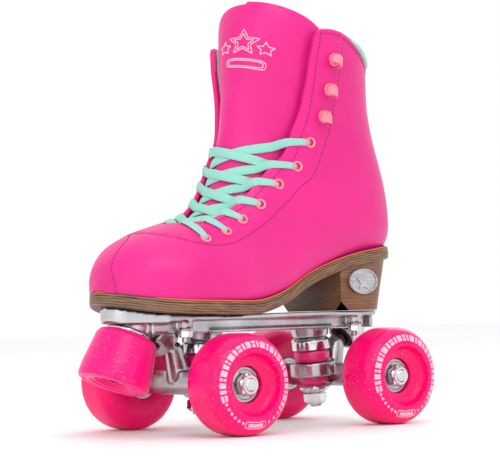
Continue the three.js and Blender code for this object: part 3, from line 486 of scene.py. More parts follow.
def laid_along_tree(material):
    """Small domed pieces, such as stitches or printed marks, a pitch apart along lines on a surface."""
    sizes = {"Pitch": 0.003, "Length": 0.002, "Width": 0.0008, "Height": 0.0005}
    tree, given, result = geometry_tree("laid_along", sizes)
    line = add_node(tree, "GeometryNodeMeshToCurve", {"Mesh": given.outputs["Geometry"]})
    spaced = add_node(tree, "GeometryNodeResampleCurve",
                      {"Curve": line.outputs["Curve"], "Length": given.outputs["Pitch"]}, mode="LENGTH")
    dome = add_node(tree, "GeometryNodeMeshUVSphere", {"Segments": 8, "Rings": 5, "Radius": 0.5})
    size = add_node(tree, "ShaderNodeCombineXYZ", {
        "X": given.outputs["Length"], "Y": given.outputs["Width"], "Z": given.outputs["Height"]})
    shaped = add_node(tree, "GeometryNodeTransform",
                      {"Geometry": dome.outputs["Mesh"], "Scale": size.outputs[0]})
    tangent = add_node(tree, "GeometryNodeInputTangent")
    placed_on = add_node(tree, "GeometryNodeInstanceOnPoints", {
        "Points": spaced.outputs["Curve"], "Instance": shaped.outputs["Geometry"],
        "Rotation": turned_to(tree, outward_field(tree), tangent.outputs["Tangent"])})
    return made_real(tree, result, placed_on, material)


def ring_tree(material):
    """Rolled rings, such as eyelets, set flat on a surface at each point."""
    tree, given, result = geometry_tree("rings", {"Radius": 0.0034, "Roll": 0.0011})
    circle = add_node(tree, "GeometryNodeCurvePrimitiveCircle",
                      {"Resolution": 40, "Radius": given.outputs["Radius"]}, mode="RADIUS")
    roll = add_node(tree, "GeometryNodeCurvePrimitiveCircle",
                    {"Resolution": 12, "Radius": given.outputs["Roll"]}, mode="RADIUS")
    ring = add_node(tree, "GeometryNodeCurveToMesh",
                    {"Curve": circle.outputs["Curve"], "Profile Curve": roll.outputs["Curve"]})
    placed_on = add_node(tree, "GeometryNodeInstanceOnPoints", {
        "Points": given.outputs["Geometry"], "Instance": ring.outputs["Mesh"],
        "Rotation": turned_to(tree, outward_field(tree))})
    return made_real(tree, result, placed_on, material)


def copies_tree(material):
    """Copies of one object at each point, standing on the surface and facing along a direction."""
    tree, given, result = geometry_tree("copies", {})
    tree.interface.new_socket("Copied", in_out="INPUT", socket_type="NodeSocketObject")
    source = add_node(tree, "GeometryNodeObjectInfo", {"Object": given.outputs["Copied"]},
                      transform_space="ORIGINAL")
    along = add_node(tree, "GeometryNodeInputNamedAttribute", {"Name": "along"}, data_type="FLOAT_VECTOR")
    placed_on = add_node(tree, "GeometryNodeInstanceOnPoints", {
        "Points": given.outputs["Geometry"], "Instance": source.outputs["Geometry"],
        "Rotation": turned_to(tree, outward_field(tree), along.outputs["Attribute"])})
    return made_real(tree, result, placed_on, material, shade_smooth=False)


def marked_points(name, points, outs, alongs=None, lines=()):
    """A mesh of loose points or lines that carries the surface's direction at each point."""
    mesh = bpy.data.meshes.new(name)
    mesh.from_pydata([tuple(p) for p in points], [tuple(e) for e in lines], [])
    for label, values in (("out", outs), ("along", alongs)):
        if values is not None:
            layer = mesh.attributes.new(label, "FLOAT_VECTOR", "POINT")
            layer.data.foreach_set("vector", np.asarray(values, np.float32).ravel())
    piece = bpy.data.objects.new(name, mesh)
    bpy.context.scene.collection.objects.link(piece)
    return piece


def laid_lines(name, lines, material, **sizes):
    """Small pieces along several lines, each a list of points and of outward directions."""
    points, outs, edges = [], [], []
    for line_points, line_outs in lines:
        start = len(points)
        points += [tuple(p) for p in line_points]
        outs += [tuple(o) for o in line_outs]
        edges += [(start + i, start + i + 1) for i in range(len(line_points) - 1)]
    piece = marked_points(name, points, outs, lines=edges)
    return run_tree(piece, laid_along_tree(material), sizes)


# ---------------------------------------------------------------- materials
def hex_colour(code):
    """sRGB hex to linear colour."""
    values = [int(code[i:i + 2], 16) / 255 for i in (0, 2, 4)]
    return tuple(v / 12.92 if v <= 0.04045 else ((v + 0.055) / 1.055) ** 2.4 for v in values) + (1.0,)


def as_colour(shade):
    """A colour from a hex code, a grey level, or a colour."""
    if isinstance(shade, str):
        return hex_colour(shade)
    if isinstance(shade, (int, float)):
        return (shade, shade, shade, 1.0)
    return tuple(shade)


def darker(shade, share):
    """The same colour with this share of its light."""
    return tuple(share * v for v in as_colour(shade)[:3]) + (1.0,)


def new_surface(name, **shader):
    """A material with one Principled shader whose uniform values are set on its own sockets."""
    material = bpy.data.materials.new(name)
    material.use_nodes = True
    tree = material.node_tree
    tree.nodes.clear()
    surface = add_node(tree, "ShaderNodeBsdfPrincipled",
                       {k.replace("_", " "): v for k, v in shader.items()})
    add_node(tree, "ShaderNodeOutputMaterial", {"Surface": surface.outputs["BSDF"]})
    place = add_node(tree, "ShaderNodeTexCoord")
    return material, tree, surface, place


def maths(tree, operation, *values):
    """The result of one Math node."""
    return add_node(tree, "ShaderNodeMath", dict(enumerate(values)), operation=operation).outputs[0]


def noise(tree, place, scale, detail=3.0, rough=0.5, stretch=None):
    """Noise at a scale per metre, stretched along an axis where one is given."""
    vector = place
    if stretch:
        vector = add_node(tree, "ShaderNodeMapping", {"Vector": place, "Scale": stretch}).outputs[0]
    made = add_node(tree, "ShaderNodeTexNoise",
                    {"Vector": vector, "Scale": scale, "Detail": detail, "Roughness": rough})
    return made.outputs["Fac"]


def ramp(tree, value, stops):
    """Colours along a 0 to 1 value: stops are (position, hex code, grey level or colour)."""
    made = add_node(tree, "ShaderNodeValToRGB", {"Fac": value})
    for i, (at, shade) in enumerate(stops):
        element = made.color_ramp.elements[i] if i < 2 else made.color_ramp.elements.new(at)
        element.position = at
        element.color = as_colour(shade)
    return made.outputs["Color"]


def mixed(tree, share, first, second, how="MIX"):
    """Colour between two others; the colour sockets of the node are its seventh and eighth."""
    made = add_node(tree, "ShaderNodeMix", {0: share, 6: first, 7: second}, data_type="RGBA",
                    blend_type=how)
    return made.outputs[2]


def bumped(tree, surface, height, distance, strength=1.0):
    made = add_node(tree, "ShaderNodeBump", {"Height": height, "Distance": distance, "Strength": strength})
    tree.links.new(made.outputs["Normal"], surface.inputs["Normal"])
    return made


def link(tree, output, surface, name):
    tree.links.new(output, surface.inputs[name])


def patterned(name, scale, stops, relief, detail=3.0, rough=0.5, stretch=None, **shader):
    """A finish whose colour and relief follow one noise; relief is its distance and strength."""
    material, tree, surface, place = new_surface(name, **shader)
    pattern = noise(tree, place.outputs["Object"], scale, detail, rough, stretch)
    link(tree, ramp(tree, pattern, stops), surface, "Base Color")
    bumped(tree, surface, pattern, *relief)
    return material, tree, surface, pattern


def coated_leather(name, colour, shade, grain_mm=0.9):
    """Polyurethane-coated leather, embossed: a satin skin with a shallow pebble grain that catches a
    broad soft highlight, a little deeper in colour in its creases."""
    material, tree, surface, place = new_surface(
        name, Roughness=0.4, IOR=1.45, Specular_IOR_Level=0.4, Coat_Weight=0.08, Coat_Roughness=0.32)
    here = place.outputs["Object"]
    patches = noise(tree, here, 22.0, 3.0)
    deep = darker(colour, shade)
    link(tree, ramp(tree, patches, [(0.3, deep), (0.72, colour)]), surface, "Base Color")
    wear = ramp(tree, noise(tree, here, 70.0, 4.0), [(0.3, 0.36), (0.75, 0.46)])
    link(tree, wear, surface, "Roughness")
    pebbles = add_node(tree, "ShaderNodeTexVoronoi",
                       {"Vector": here, "Scale": 1 / (grain_mm * MM), "Randomness": 0.9},
                       feature="SMOOTH_F1")
    creases = noise(tree, here, 1 / (3 * grain_mm * MM), 5.0, 0.6)
    height = maths(tree, "ADD", pebbles.outputs["Distance"], creases)
    bumped(tree, surface, height, 0.00006, 0.55)
    return material


def brushed_lining(name):
    """Brushed polyester knit over foam: matt, with a short nap that lightens at grazing angles."""
    return patterned(name, 900.0, [(0.3, "7CC6AF"), (0.7, "A6E0CE")], (0.0003, 0.7), detail=4.0, rough=0.7,
                     Roughness=0.92, Sheen_Weight=0.5, Sheen_Roughness=0.5)[0]


def woven_lace(name):
    """Flat polyester lace, woven in a 1.2 mm herringbone whose ribs run along it."""
    material, tree, surface, place = new_surface(name, Roughness=0.75, Sheen_Weight=0.25,
                                                 Sheen_Roughness=0.4)
    place_uv = place.outputs["UV"]
    parts = add_node(tree, "ShaderNodeSeparateXYZ", {"Vector": place_uv})
    fold = maths(tree, "PINGPONG", parts.outputs["Y"], 0.25)
    slope = maths(tree, "MULTIPLY_ADD", fold, 3.2, parts.outputs["X"])
    turns = maths(tree, "MULTIPLY", slope, 2 * math.pi * 6.0)
    ribs = maths(tree, "SINE", turns)
    strands = maths(tree, "MULTIPLY", parts.outputs["Y"], 2 * math.pi * 7.0)
    across = maths(tree, "SINE", strands)
    both = maths(tree, "ADD", ribs, across)
    share = add_node(tree, "ShaderNodeMapRange", {"Value": both, "From Min": -2.0, "From Max": 2.0})
    colours = ramp(tree, share.outputs[0], [(0.1, "78BFAE"), (0.65, "9BDCCB")])
    link(tree, colours, surface, "Base Color")
    bumped(tree, surface, share.outputs[0], 0.00018, 0.5)
    return material


def bonded_thread(name, colour):
    """Bonded nylon thread, twisted: a low gloss and a fine twist."""
    stops = [(0.3, darker(colour, 0.75)), (0.7, colour)]
    return patterned(name, 2500.0, stops, (0.0001, 0.5), detail=2.0, Roughness=0.55)[0]


def footbed_cloth(name):
    """Foam footbed faced with knitted polyester in 1.5 mm cells."""
    material, tree, surface, place = new_surface(name, Roughness=0.95, Sheen_Weight=0.3)
    here = place.outputs["Object"]
    cells = add_node(tree, "ShaderNodeTexVoronoi", {"Vector": here, "Scale": 660.0, "Randomness": 0.25})
    colours = ramp(tree, cells.outputs["Distance"], [(0.1, "4A4B50"), (0.6, "2B2C30")])
    link(tree, colours, surface, "Base Color")
    bumped(tree, surface, cells.outputs["Distance"], 0.0003, 0.6)
    return material


def laminated_sole(name):
    """Composition sole edge, laminated, stained brown and waxed: fine dark lines follow the layers,
    drawn about 1 mm apart on the V of the UV map, with grain stretched along the edge."""
    material, tree, surface, place = new_surface(name, Roughness=0.5, Coat_Weight=0.15, Coat_Roughness=0.3)
    parts = add_node(tree, "ShaderNodeSeparateXYZ", {"Vector": place.outputs["UV"]})
    wander = add_node(tree, "ShaderNodeTexNoise",
                      {"Vector": place.outputs["UV"], "Scale": 9.0, "Detail": 4.0})
    bent = maths(tree, "MULTIPLY_ADD", wander.outputs["Fac"], 0.28, parts.outputs["Y"])
    turns = maths(tree, "MULTIPLY", bent, 2 * math.pi * 5.0)
    waves = maths(tree, "SINE", turns)
    drawn_out = add_node(tree, "ShaderNodeMapping",
                         {"Vector": place.outputs["UV"], "Scale": (6.0, 60.0, 1.0)})
    fibres = add_node(tree, "ShaderNodeTexNoise", {
        "Vector": drawn_out.outputs[0],
        "Scale": 1.0, "Detail": 5.0, "Roughness": 0.65})
    share = maths(tree, "MULTIPLY_ADD", waves, 0.16, fibres.outputs["Fac"])
    colours = ramp(tree, share, [
        (0.28, "2E1C12"), (0.42, "5B3E29"), (0.58, "7E5B3E"), (0.75, "A07A56")])
    link(tree, colours, surface, "Base Color")
    bumped(tree, surface, share, 0.0002, 0.5)
    return material


def stacked_heel(name, light, dark):
    """Leatherboard heel stack, ground and stained: level layers about 2 mm thick and a scuffed wax."""
    material, tree, surface, place = new_surface(name, Roughness=0.48, Coat_Weight=0.12,
                                                 Coat_Roughness=0.35)
    here = place.outputs["Object"]
    long_grain = noise(tree, here, 60.0, 5.0, 0.6, stretch=(1.0, 1.0, 7.0))
    parts = add_node(tree, "ShaderNodeSeparateXYZ", {"Vector": here})
    turns = maths(tree, "MULTIPLY", parts.outputs["Z"], 2 * math.pi / 0.0021)
    layers = maths(tree, "SINE", turns)
    share = maths(tree, "MULTIPLY_ADD", layers, 0.07, long_grain)
    middle = mixed(tree, 0.5, hex_colour(light), hex_colour(dark))
    colours = mixed(tree, ramp(tree, share, [(0.35, 0), (0.65, 1)]), hex_colour(dark), hex_colour(light))
    link(tree, mixed(tree, 0.25, colours, middle), surface, "Base Color")
    bumped(tree, surface, share, 0.00025, 0.5)
    return material


def cast_aluminium(name):
    """Pressure-cast aluminium, tumbled: satin, with a faint orange-peel and duller hollows."""
    material, tree, surface, place = new_surface(name, Metallic=1.0, Roughness=0.3)
    here = place.outputs["Object"]
    cloud = noise(tree, here, 45.0, 4.0)
    link(tree, ramp(tree, cloud, [(0.3, "A6A7AA"), (0.7, "CFCFD2")]), surface, "Base Color")
    link(tree, ramp(tree, noise(tree, here, 160.0, 5.0), [(0.3, 0.24), (0.7, 0.34)]), surface, "Roughness")
    bumped(tree, surface, noise(tree, here, 500.0, 3.0), 0.00003, 0.3)
    return material


def plated_steel(name, colour="DADBDF", rough=0.14):
    """Nickel-chrome plate on turned steel: a near mirror with faint turning marks and handling haze."""
    material, tree, surface, place = new_surface(name, Metallic=1.0, Roughness=rough)
    here = place.outputs["Object"]
    haze = noise(tree, here, 120.0, 4.0)
    link(tree, ramp(tree, haze, [(0.35, rough * 0.7), (0.7, rough * 1.7)]), surface, "Roughness")
    deep = darker(colour, 0.82)
    link(tree, ramp(tree, haze, [(0.3, deep), (0.6, colour)]), surface, "Base Color")
    bumped(tree, surface, noise(tree, here, 1800.0, 2.0), 0.00003, 0.3)
    return material


def glitter_urethane(name, colour, deep, glow=0.35):
    """Cast polyurethane with glitter: clear tinted resin that scatters light under a moulded gloss,
    with flakes of about 0.5 mm, drawn a little larger than real so that they show."""
    material, tree, surface, place = new_surface(
        name, Roughness=0.28, IOR=1.45, Specular_IOR_Level=0.3, Coat_Weight=0.06, Coat_Roughness=0.15,
        Subsurface_Weight=glow, Subsurface_Radius=(0.012, 0.002, 0.006), Subsurface_Scale=0.6)
    here = place.outputs["Object"]
    flakes = add_node(tree, "ShaderNodeTexVoronoi",
                      {"Vector": here, "Scale": 1 / 0.0009, "Randomness": 1.0})
    near = maths(tree, "LESS_THAN", flakes.outputs["Distance"], 0.28)
    parts = add_node(tree, "ShaderNodeSeparateColor", {"Color": flakes.outputs["Color"]})
    crowd = noise(tree, here, 60.0, 2.0)
    limit = add_node(tree, "ShaderNodeMapRange",
                     {"Value": crowd, "From Min": 0.3, "From Max": 0.7, "To Min": 0.985, "To Max": 0.88})
    few = maths(tree, "GREATER_THAN", parts.outputs["Red"], limit.outputs[0])
    both = maths(tree, "MULTIPLY", near, few)
    body = ramp(tree, noise(tree, here, 38.0, 3.0), [(0.3, deep), (0.7, colour)])
    link(tree, mixed(tree, both, body, hex_colour("FF9CCB")), surface, "Base Color")
    bumped(tree, surface, both, 0.00004, 0.4)
    return material


def clear_cushion(name):
    """Cast urethane cushion: tinted, semi-clear, with the soft gloss of an open mould."""
    return patterned(
        name, 90.0, [(0.3, "D8106A"), (0.7, "F52C86")], (0.0001, 0.3), Roughness=0.3, IOR=1.5,
        Subsurface_Weight=0.4, Subsurface_Radius=(0.01, 0.002, 0.005), Subsurface_Scale=0.5,
        Coat_Weight=0.3, Coat_Roughness=0.15)[0]


def painted_print(name, colour):
    """Pad-printed ink, thin and slightly chalky over the gloss below."""
    stops = [(0.32, darker(colour, 0.8)), (0.55, colour)]
    return patterned(name, 500.0, stops, (0.00005, 0.4), detail=4.0, rough=0.7, Roughness=0.45)[0]


def stove_enamel(name, colour):
    """Stove enamel on pressed brass: glossy and slightly thinner along edges."""
    stops = [(0.3, darker(colour, 0.86)), (0.7, colour)]
    return patterned(name, 260.0, stops, (0.00005, 0.3), Roughness=0.28, Coat_Weight=0.4,
                     Coat_Roughness=0.1)[0]


def moulded_rubber(name, colour="232326"):
    """Black nitrile rubber, moulded: dull, with a fine matt texture."""
    stops = [(0.3, colour), (0.8, "3A3A3E")]
    return patterned(name, 300.0, stops, (0.0001, 0.4), detail=4.0, Roughness=0.75)[0]


def brushed_nickel(name):
    """Nickel sheet, brushed lengthways in strokes about 0.2 mm apart, drawn coarser so that they show."""
    material, tree, surface, strokes = patterned(
        name, 900.0, [(0.3, "9C9CA0"), (0.7, "D6D6DA")], (0.00005, 0.4), rough=0.6,
        stretch=(0.08, 1.0, 1.0), Metallic=1.0, Roughness=0.3)
    link(tree, ramp(tree, strokes, [(0.3, 0.22), (0.7, 0.4)]), surface, "Roughness")
    return material


def painted_floor(name):
    """Matt painted studio floor, nearly white."""
    material, tree, surface, place = new_surface(name, Roughness=0.6)
    link(tree, ramp(tree, noise(tree, place.outputs["Object"], 3.0, 3.0),
                    [(0.2, "F7F7F8"), (0.8, "FCFCFC")]), surface, "Base Color")
    return material


# ---------------------------------------------------------------- sizes and colours
def length(name, description, default):
    return FloatProperty(name=name, description=description, default=default, min=0.0, precision=5,
                         unit="LENGTH")


def offset(name, description, default):
    return FloatProperty(name=name, description=description, default=default, precision=5, unit="LENGTH")


def angle(name, description, degrees):
    return FloatProperty(name=name, description=description, default=math.radians(degrees), subtype="ANGLE")


def colour(name, description, code):
    return FloatVectorProperty(name=name, description=description, default=hex_colour(code), size=4,
                               subtype="COLOR",
                               min=0.0, max=1.0)


class StageSizes(PropertyGroup):
    azimuth: angle("Azimuth", "Camera's direction, from the skate's left side towards its toe", 39.26)
    elevation: angle("Elevation", "Camera's height above the point it looks at", -2.71)
    roll: angle("Roll", "Camera's turn about its own axis", -1.5)
    distance: length("Distance", "Camera to the point it looks at", 1.202)
    aim_height: length("Aim height", "Height of the point it looks at", 0.134)
    aim_x: offset("Aim X", "The same point, from the middle of the axles", -0.0067)
    lens: FloatProperty(name="Lens", description="Focal length in millimetres on a 36 mm sensor",
                        default=132.5)
    world: FloatProperty(name="World", description="Strength of the white surroundings", default=1.0)
    key: FloatProperty(name="Key", description="Power of the main light in watts", default=6.0)
    shift_x: FloatProperty(name="Shift X", description="Sideways shift of the lens", default=-0.024)
    shift_y: FloatProperty(name="Shift Y", description="Upward shift of the lens", default=-0.029)


class BootSizes(PropertyGroup):
    leather: length("Leather", "Thickness of the upper", 0.003)
    lining: length("Lining", "Thickness of the lining", 0.0022)
    lining_height: length("Lining height", "Lining's lower edge above the ball of the foot", 0.069)
    roll: length("Collar roll", "Radius of the padded roll at the back of the collar", 0.0027)
    tongue: length("Tongue", "Thickness of the padded tongue", 0.005)
    stitch: length("Stitch", "Length of one stitch", 0.002)
    stitch_pitch: length("Stitch pitch", "Distance from stitch to stitch", 0.0027)
    leather_colour: colour("Leather colour", "Colour of the upper", "E51A86")


class LaceSizes(PropertyGroup):
    width: length("Width", "Width of the flat lace", 0.0062)
    thick: length("Thickness", "Thickness of the flat lace", 0.001)
    eyelet: length("Eyelet", "Radius of an eyelet's rolled ring", 0.0028)
    eyelet_roll: length("Eyelet roll", "Radius of the ring's own section", 0.00085)


class SoleSizes(PropertyGroup):
    thick: length("Sole", "Thickness of the laminated sole", SOLE_THICK)
    heel_breast: offset("Heel breast", "Heel's front face, from the middle of the axles", -0.047)
    heel_lean: length("Heel lean", "How far the heel's back leans in at the bottom", 0.012)
    heel_inset: length("Heel inset", "Heel inside the sole's outline", 0.0008)
    corner: length("Corner", "Bevel on the breast's lower corners", 0.006)


class TruckSizes(PropertyGroup):
    inboard: length("Kingpin inboard", "Ring's centre to the axle, along the skate", 0.01495)
    ring_up: length("Ring height", "Ring's centre above the axle", 0.0045)
    tilt: angle("Kingpin tilt", "Lean of the kingpin's head towards the middle", 4.9)
    kingpin: length("Kingpin", "Radius of the kingpin", 0.004)
    skin: length("Cast skin", "Fineness of the castings' rounded skin", 0.0008)


class WheelSizes(PropertyGroup):
    radius: length("Radius", "Radius of a wheel", 0.031)
    width: length("Width", "Width of a wheel", 0.0336)
    shoulder: length("Shoulder", "Rounding of the wheel's edge", 0.0105)
    lip: length("Lip", "Radius of the lip where the face turns in", 0.0192)
    dish: length("Dish", "Depth of the hollow face", 0.0084)
    bearing: length("Bearing", "Outer radius of a bearing", 0.011)
    sides: IntProperty(name="Sides", description="Steps round the wheel", default=128, min=16)


class StopSizes(PropertyGroup):
    radius: length("Foot radius", "Radius of the face that meets the ground", 0.0225)
    top: length("Top radius", "Radius of the stop's upper end", 0.0195)
    height: length("Height", "Height of the stop along its own axis", 0.0326)
    tilt: angle("Tilt", "Lean of the stop's foot forwards", 22.9)
    foot_x: length("Foot X", "Foot's centre ahead of the middle of the axles", 0.1146)
    below: length("Below plate", "Foot's centre under the plate's top", 0.0415)
    stem: length("Stem", "Radius of the threaded stem", 0.0079)


# ---------------------------------------------------------------- boot
ROWS_FREE = 18  # sections below this lie on whole numbers; those above are spread up to the collar
SIDE_COLUMNS = 60
SOLE_COLUMNS = 8
CORNER_R = 6.0  # rounding of the facing's top corner, in millimetres
WRAP_COLUMNS = 2 * SIDE_COLUMNS + 2 * SOLE_COLUMNS + 1
CLEAR_OF_SOLE = 150.0  # degrees at which a section that is above the sole changes from side to back
SECTION_RISE = 15.0  # millimetres from section to section up the shaft, about
TONGUE_CLEAR = 0.9  # millimetres between the lining and the tongue


def far_spread(k):
    """How much further round the far facing's places lie, which grows up the shin."""
    return 1 + (FAR_SPREAD - 1) * step_between(9, 15, k)


def facing_place(place, far=False):
    """A place on the near facing, or the one on the far facing that answers it."""
    k, degrees = place
    if not far:
        return np.array([k, degrees])
    near_edge, far_edge = throat_edges(k)
    turned = far_edge - far_spread(k) * (degrees - near_edge)
    lower = FAR_DROP * (k - EYELETS[0, 0]) if k <= EYELETS[-1, 0] else 0
    return np.array([k - lower, turned])


def sole_crossing(k):
    """Angle round each section at which the boot's side meets the sole, and 150 or more above it."""
    degrees = np.linspace(20, 180, 641)
    made = []
    for section in np.atleast_1d(k):
        points = boot_mm(section, degrees, 0)
        clear = points[:, 2] - line_at(SOLE_EDGE, points[:, 0]) - GAP / MM
        under = np.nonzero(clear < 0)[0]
        if len(under):
            i = max(under[0], 1)
            share = clear[i - 1] / max(clear[i - 1] - clear[i], 1e-9)
            made.append(min(degrees[i - 1] + share * (degrees[i] - degrees[i - 1]), 178))
        else:
            made.append(178 - (178 - CLEAR_OF_SOLE) * float(step_between(14.7, 16.5, section)))
    return np.array(made)


def wrap_angles(k, cut_back=0.0, crossing=None):
    """Columns of angles from the throat's near edge round the back to its far edge, for each k."""
    near, far = throat_edges(k)
    low = sole_crossing(k) if crossing is None else crossing
    side = np.linspace(0, 1, SIDE_COLUMNS + 1)
    under = np.linspace(0, 1, 2 * SOLE_COLUMNS + 1)[1:]
    first = (near + cut_back)[:, None] + (low - near - cut_back)[:, None] * side
    bottom = low[:, None] + (360 - 2 * low)[:, None] * under
    last = (360 - low)[:, None] + (low + far - cut_back)[:, None] * side[1:]
    return np.hstack([first, bottom, last])


def shaft_angles(k, cut_back=0.0):
    """Angle of each column of the wrap, where each has a section number of its own above the sole."""
    pick = np.arange(len(k))
    return wrap_angles(k, cut_back, np.full(len(k), CLEAR_OF_SOLE))[pick, pick]


def collar_sections(columns, cut_back=0.0):
    """Section number at which each column of the wrap meets the collar's edge."""
    low, high = np.full(columns, 19.0), np.full(columns, float(LAST_SECTION))
    for _ in range(22):
        middle = (low + high) / 2
        points = boot_mm(middle, shaft_angles(middle, cut_back), 0)
        over = points[:, 2] > line_at(COLLAR_EDGE, points[:, 0])
        high, low = np.where(over, middle, high), np.where(over, low, middle)
    edge = boot_mm(low, shaft_angles(low, cut_back), 0)
    walk = np.concatenate([[0], np.cumsum(np.linalg.norm(np.diff(edge, axis=0), axis=1))])
    inside = np.minimum(walk, walk[-1] - walk)
    turn = 1 - np.clip(inside / CORNER_R, 0, 1)
    drop = CORNER_R * (1 - np.sqrt(np.maximum(1 - turn ** 2, 0)))
    return low - drop / SECTION_RISE


def facing_seam_angle(k, far=False):
    """Angle of the facing's seam at each section, on either side."""
    degrees = np.interp(k, FACING_SEAM[::-1, 0], FACING_SEAM[::-1, 1])
    near_edge, far_edge = throat_edges(k)
    return far_edge - far_spread(k) * (degrees - near_edge) if far else degrees


def facing_relief(k, degrees):
    """Millimetres that the facing stands above the vamp and quarters, with a rolled edge."""
    signed = np.where(degrees > 180, degrees - 360, degrees)
    half = sections_at(k)[..., 4]
    near = (facing_seam_angle(k) - signed) * np.radians(1) * half
    far = (signed - facing_seam_angle(k, far=True)) * np.radians(1) * half
    inside = np.where(signed >= 0, near, far)
    return 0.7 * step_between(-0.8, 1.4, inside) * step_between(4.0, 4.5, k)


def leather_upper(sizes):
    """Vamp, quarters and facings as one closed shell with an open throat and collar."""
    base = np.concatenate([np.arange(0, 14, 1 / 6), np.arange(14, 15, 1 / 20),
                           np.arange(15, LAST_SECTION + 0.01, 1 / 6)])
    columns = WRAP_COLUMNS
    top = collar_sections(columns)
    share = np.clip((base[:, None] - ROWS_FREE) / (LAST_SECTION - ROWS_FREE), 0, 1)
    k = np.where(base[:, None] <= ROWS_FREE, base[:, None], ROWS_FREE + share * (top[None, :] - ROWS_FREE))
    crossing = np.where(base <= ROWS_FREE, sole_crossing(base), CLEAR_OF_SOLE)
    angles = np.empty_like(k)
    for c in range(columns):
        angles[:, c] = wrap_angles(k[:, c], crossing=crossing)[:, c]
    outer = boot_mm(k, angles, 0) + boot_outward(k, angles) * facing_relief(k, angles)[..., None]
    inner = boot_mm(k, angles, sizes.leather / MM)
    for sheet, raised in ((outer, GAP / MM), (inner, GAP / MM + 2.5)):
        sheet[..., 2] = np.maximum(sheet[..., 2], line_at(SOLE_EDGE, sheet[..., 0]) + raised)
    rows = len(base)
    points = list(outer.reshape(-1, 3)) + list(inner.reshape(-1, 3))
    under = rows * columns
    faces = grid_faces(rows, columns) + grid_faces(rows, columns, start=under, flip=True)
    open_rows = [r for r in range(rows) if base[r] >= THROAT[0, 0] - 1 / 6]
    rims = [
        [r * columns for r in open_rows],
        [(rows - 1) * columns + c for c in range(columns)],
        [r * columns + columns - 1 for r in reversed(open_rows)],
    ]
    path = rims[0] + rims[1][1:] + rims[2][1:]
    lips = []
    for i, at in enumerate(path):
        r, c = divmod(at, columns)
        beside = outer[r, 1] if c == 0 else (outer[r, columns - 2] if c == columns - 1 else outer[r - 1, c])
        away = outer[r, c] - beside
        away = away / max(np.linalg.norm(away), 1e-6)
        lips.append(len(points))
        points.append((outer[r, c] + inner[r, c]) / 2 + away * 0.8)
    for i in range(len(path) - 1):
        a, b = path[i], path[i + 1]
        faces += [(a, b, lips[i + 1], lips[i]), (lips[i], lips[i + 1], under + b, under + a)]
    for start, sheet in ((0, outer), (under, inner)):
        centre = sheet[0].mean(0)
        ring = list(range(start, start + columns))
        for shrink, forward in ((0.7, 0.5), (0.35, 0.9)):
            first = len(points)
            points += list(centre + (sheet[0] - centre) * shrink + np.array([forward, 0, 0]))
            fresh = list(range(first, first + columns))
            faces += [(ring[c], fresh[c], fresh[c + 1], ring[c + 1]) for c in range(columns - 1)]
            ring = fresh
        points.append(centre + np.array([1.0, 0, 0]))
        faces += [(ring[c], len(points) - 1, ring[c + 1]) for c in range(columns - 1)]
    piece = mesh_piece("upper", placed(points), faces)
    return tidy_mesh(piece, weld=1e-5, sharp_degrees=65)


def padded_lining(sizes):
    """Lining with a rolled, foam-filled collar that lies over the leather's top edge at the back."""
    columns = WRAP_COLUMNS
    cut_back = 1.6
    top = collar_sections(columns, cut_back)
    edge = boot_mm(top, shaft_angles(top, cut_back), 0)
    fat = step_between(-34, -64, edge[:, 0])
    low = np.full(columns, 15.0)
    high = np.full(columns, 20.0)
    for _ in range(18):
        middle = (low + high) / 2
        points = boot_mm(middle, shaft_angles(middle, cut_back), 0)
        over = points[:, 2] > sizes.lining_height / MM
        high, low = np.where(over, middle, high), np.where(over, low, middle)
    leather = sizes.leather / MM
    outside, inside = leather + 0.4, leather + 0.4 + sizes.lining / MM
    roll = 1.3 + (sizes.roll / MM - 1.3) * fat
    stations = []
    for t in np.linspace(0, 1, 34):
        pad = 2.0 * fat * step_between(0.55, 0.95, t)
        stations.append((low + (top - 0.15 - low) * t, inside + pad))
    for a in np.linspace(-20, 205, 15):
        depth = leather * (0.5 + 0.62 * (1 - fat)) - roll * 0.35 * fat
        depth = depth + roll * np.cos(np.radians(a)) * (1 + 0.25 * fat)
        rise = roll * (0.35 + 0.25 * fat) + roll * np.sin(np.radians(a)) * (0.85 + 0.15 * fat)
        height = top + np.where(fat > 0.02, rise, rise - 0.9) / SECTION_RISE
        stations.append((height, np.where(fat > 0.5, depth + 1.2, depth + 0.9)))
    for t in np.linspace(0, 1, 34):
        stations.append((top - 0.03 - (top - 0.03 - low) * t, np.full(columns, outside)))
    points = []
    for k, depth in stations:
        points += list(boot_mm(k, shaft_angles(k, cut_back), depth))
    rows = len(stations)
    faces = grid_faces(rows, columns)
    faces += [((rows - 1) * columns + c, (rows - 1) * columns + c + 1, c + 1, c)
              for c in range(columns - 1)]
    for c in (0, columns - 1):
        for r in range(rows // 2):
            a, b = r * columns + c, (rows - 1 - r) * columns + c
            faces.append((a, a + columns, b - columns, b))
    return tidy_mesh(mesh_piece("lining", placed(points), faces), weld=1e-5, sharp_degrees=75)


# Degrees that the tongue runs under each facing, its first and last section, and the sections over
# which the two halves of its top round off
TONGUE = {"under_near": 16, "under_far": 21, "from": 6.2, "to": 23.9, "crown_near": 1.8, "crown_far": 3.4}


def tongue_angles(k, across):
    """Angles across the tongue, from -1 at its far edge to 1 at its near edge."""
    near, far = throat_edges(k)
    left, right = near + TONGUE["under_near"], far - TONGUE["under_far"]
    made = []
    for crown in (TONGUE["crown_far"], TONGUE["crown_near"]):
        fade = np.clip((k - (TONGUE["to"] - crown)) / crown, 0, 1)
        made.append(np.maximum(0.04, np.sqrt(1 - fade ** 2.3)))
    share = np.where(np.asarray(across) < 0, made[0], made[1])
    return (left + right) / 2 + across * share * (left - right) / 2


